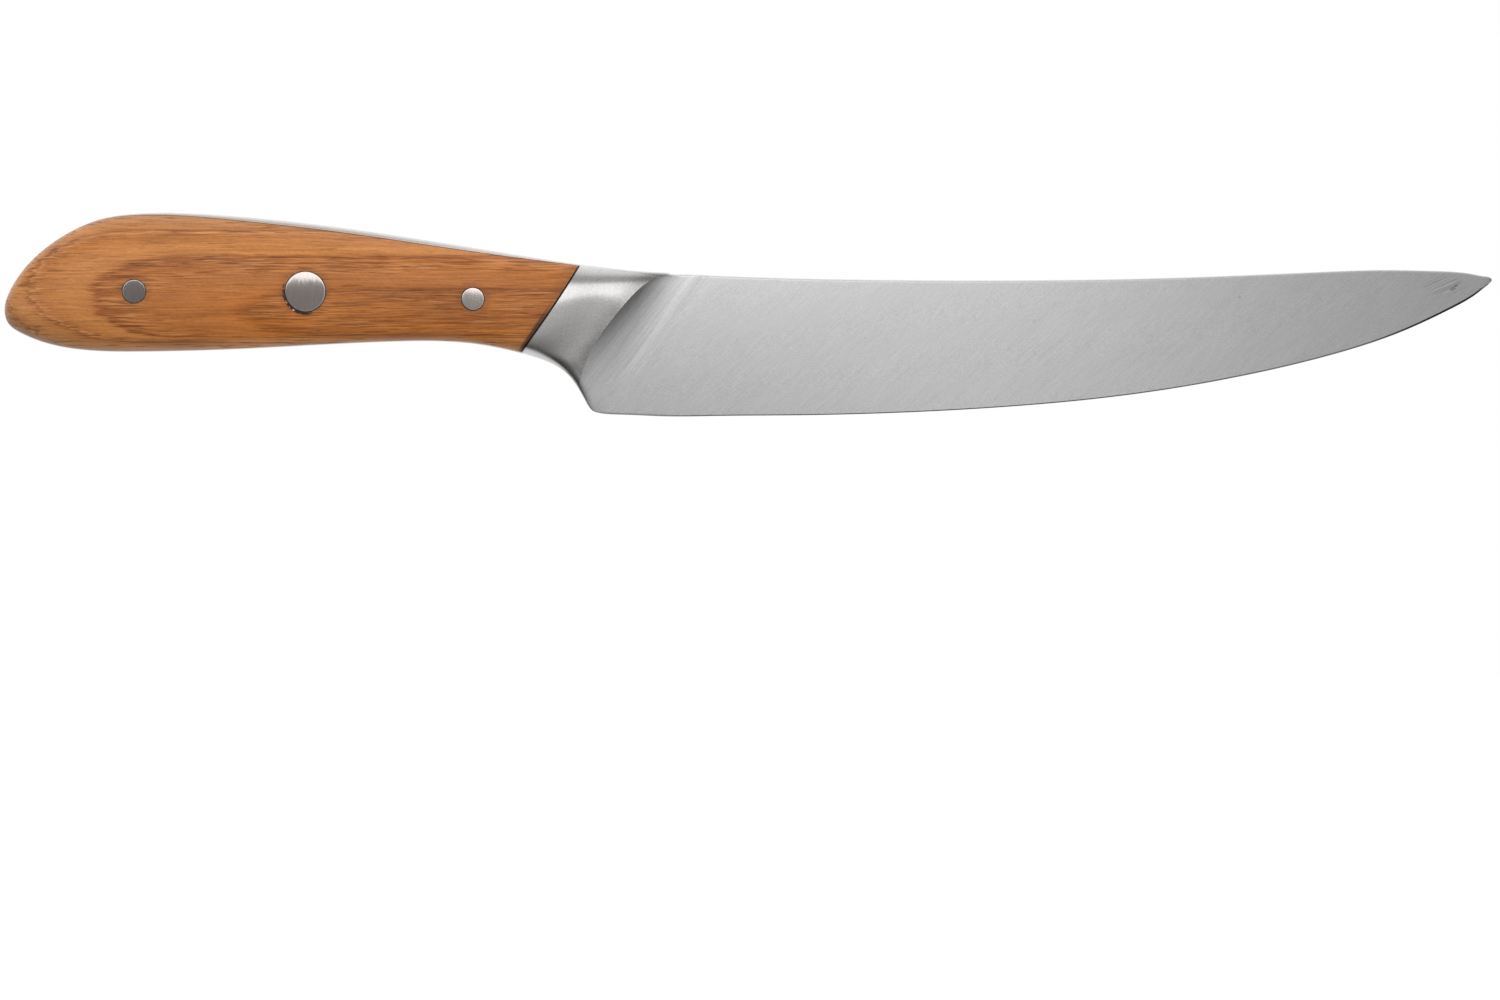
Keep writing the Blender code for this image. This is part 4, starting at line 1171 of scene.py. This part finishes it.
def studio_floor():
    """Near-white floor, hidden from reflections and from diffuse light."""
    floor = plane("studio_floor", centre=(0.0, 0.0, -0.175), size=14.0)
    material, surface, tree = new_material("studio_floor")
    mottle = noise(millimetres(tree), scale=0.004, detail=3.0)
    set_inputs(surface, {"Base Color": ramp(mottle, [(0.3, 0.93), (0.7, 0.96)]),
                         "Roughness": 0.9, "Specular IOR Level": 0.0,
                         "Emission Color": (1, 1, 1, 1), "Emission Strength": 0.25})
    floor.data.materials.append(material)
    floor.visible_glossy = floor.visible_diffuse = False


# Brightness of the reflected room round the X axis: (degrees, level).
# 0 looks back at the camera, 90 straight up, -90 straight down, 180 behind the knife.
ROOM = (
    (-180, 1.0), (-120, 0.95), (-106, 0.70), (-98, 0.30), (-92, 0.04), (-84, 0.11),
    (-70, 0.22), (-52, 0.34), (-40, 0.46), (-30, 0.54), (-20, 0.60), (-8, 0.64), (0, 0.64),
    (44, 0.43), (58, 0.47), (68, 0.64), (80, 0.89), (95, 1.01), (120, 1.14), (150, 1.38),
    (180, 1.58))


def studio_world():
    """White to the camera, a graded room in reflections, a plain sky for diffuse light."""
    world = bpy.data.worlds.new("studio")
    bpy.context.scene.world = world
    world.use_nodes = True
    tree = world.node_tree
    tree.nodes.clear()
    x, y, z = split(coordinates(tree, "Generated"))
    theta = shader_math("ARCTAN2", z, y * -1.0)

    def theta_rise(off, on):
        return theta.rise(math.radians(off), math.radians(on))

    # above the camera the room's grading climbs with x
    lift = (x - 0.17) * 0.35 * theta_rise(off=5, on=30)
    lift = lift * theta.fall(full=math.radians(60), gone=math.radians(90))
    turn = (theta - lift) * (0.5 / math.pi) + 0.5
    room = ramp(turn, [(0.5 + angle / 360.0, level) for angle, level in ROOM])
    # dimmer to both sides, and low on the butt's side
    sides = abs(x).remap(start=0.60, end=0.92, low=1.0, high=0.45)
    low_butt = x.rise(off=-0.02, on=-0.28) * theta_rise(off=-10, on=-38)
    low_butt = low_butt * theta_rise(off=-100, on=-84)
    reflected = room * (sides * (1.0 - low_butt * 0.66))
    # the diffuse sky is brighter overhead
    rays = add_node(tree, "ShaderNodeLightPath")
    to_camera, to_diffuse = Value(rays, "Is Camera Ray"), Value(rays, "Is Diffuse Ray")
    sky = (1.0 + z * 0.47) * 0.71
    light = reflected * (1.0 - to_diffuse) + sky * to_diffuse
    colour = mix(to_camera, vector(light, light, light), (1.0, 1.0, 1.0))
    background = add_node(tree, "ShaderNodeBackground", {"Color": colour, "Strength": 1.0})
    add_node(tree, "ShaderNodeOutputWorld", {"Surface": Value(background)})


FACING_Y = (math.radians(90), 0, 0)     # turns a camera or lamp to look along +Y


def softbox():
    """Soft light on the camera's side, above the handle."""
    lamp = bpy.data.lights.new("softbox", "AREA")
    lamp.shape, lamp.size, lamp.size_y = "RECTANGLE", 0.70, 0.28
    lamp.energy = math.pi * lamp.size * lamp.size_y
    box = bpy.data.objects.new("softbox", lamp)
    box.location = (-0.165, -0.40, 0.135)
    box.rotation_euler = FACING_Y
    box.visible_camera = False
    bpy.context.collection.objects.link(box)


# Dark cards seen only in reflections: below the soft box, off the tip, and low beyond the tip.
# (name, x from, x to, y, z from, z to, glow along x as (share, strength))
CARDS = (
    ("studio_card", -0.197, -0.027, -0.40, -0.228, -0.008, [(0.0, 0.232), (1.0, 0.232)]),
    ("studio_card_side", 0.098, 0.45, -0.25, -0.12, 0.10,
     [(0.0, 0.60), (0.19, 0.46), (0.36, 0.34), (1.0, 0.30)]),
    ("studio_card_low", 0.154, 0.30, -0.12, -0.20, -0.045, [(0.0, 0.015), (1.0, 0.015)]))


def studio_card(name, x0, x1, y, z0, z1, glow):
    card = plane(name, centre=(0.0, 0.0, 0.0), size=1.0)
    card.scale = (x1 - x0, z1 - z0, 1.0)
    card.location = (0.5 * (x0 + x1), y, 0.5 * (z0 + z1))
    card.rotation_euler = FACING_Y
    material, surface, tree = new_material(name)
    mottle = noise(millimetres(tree), scale=0.01)
    along = split(coordinates(tree))[0]
    set_inputs(surface, {"Base Color": ramp(mottle, [(0.3, 0.01), (0.7, 0.02)]),
                         "Specular IOR Level": 0.0, "Emission Color": (1, 1, 1, 1),
                         "Emission Strength": ramp(along + 0.5, glow)})
    card.data.materials.append(material)
    card.visible_camera = card.visible_diffuse = card.visible_shadow = False


def studio_camera():
    """Square on to the right side of the knife."""
    camera_distance = 3.0
    framed_width = 0.3348               # width seen at the middle plane
    camera = bpy.data.cameras.new("camera")
    camera.sensor_width = 36.0
    camera.lens = 36.0 * camera_distance / framed_width
    camera.clip_start, camera.clip_end = 0.05, 60.0
    eye = bpy.data.objects.new("camera", camera)
    eye.location = (0.0004, -camera_distance, -0.04145)
    eye.rotation_euler = FACING_Y
    bpy.context.collection.objects.link(eye)
    scene = bpy.context.scene
    scene.camera = eye
    scene.view_settings.view_transform = "Standard"
    scene.view_settings.look = "None"


studio_floor()
studio_world()
softbox()
for row in CARDS:
    studio_card(*row)
studio_camera()
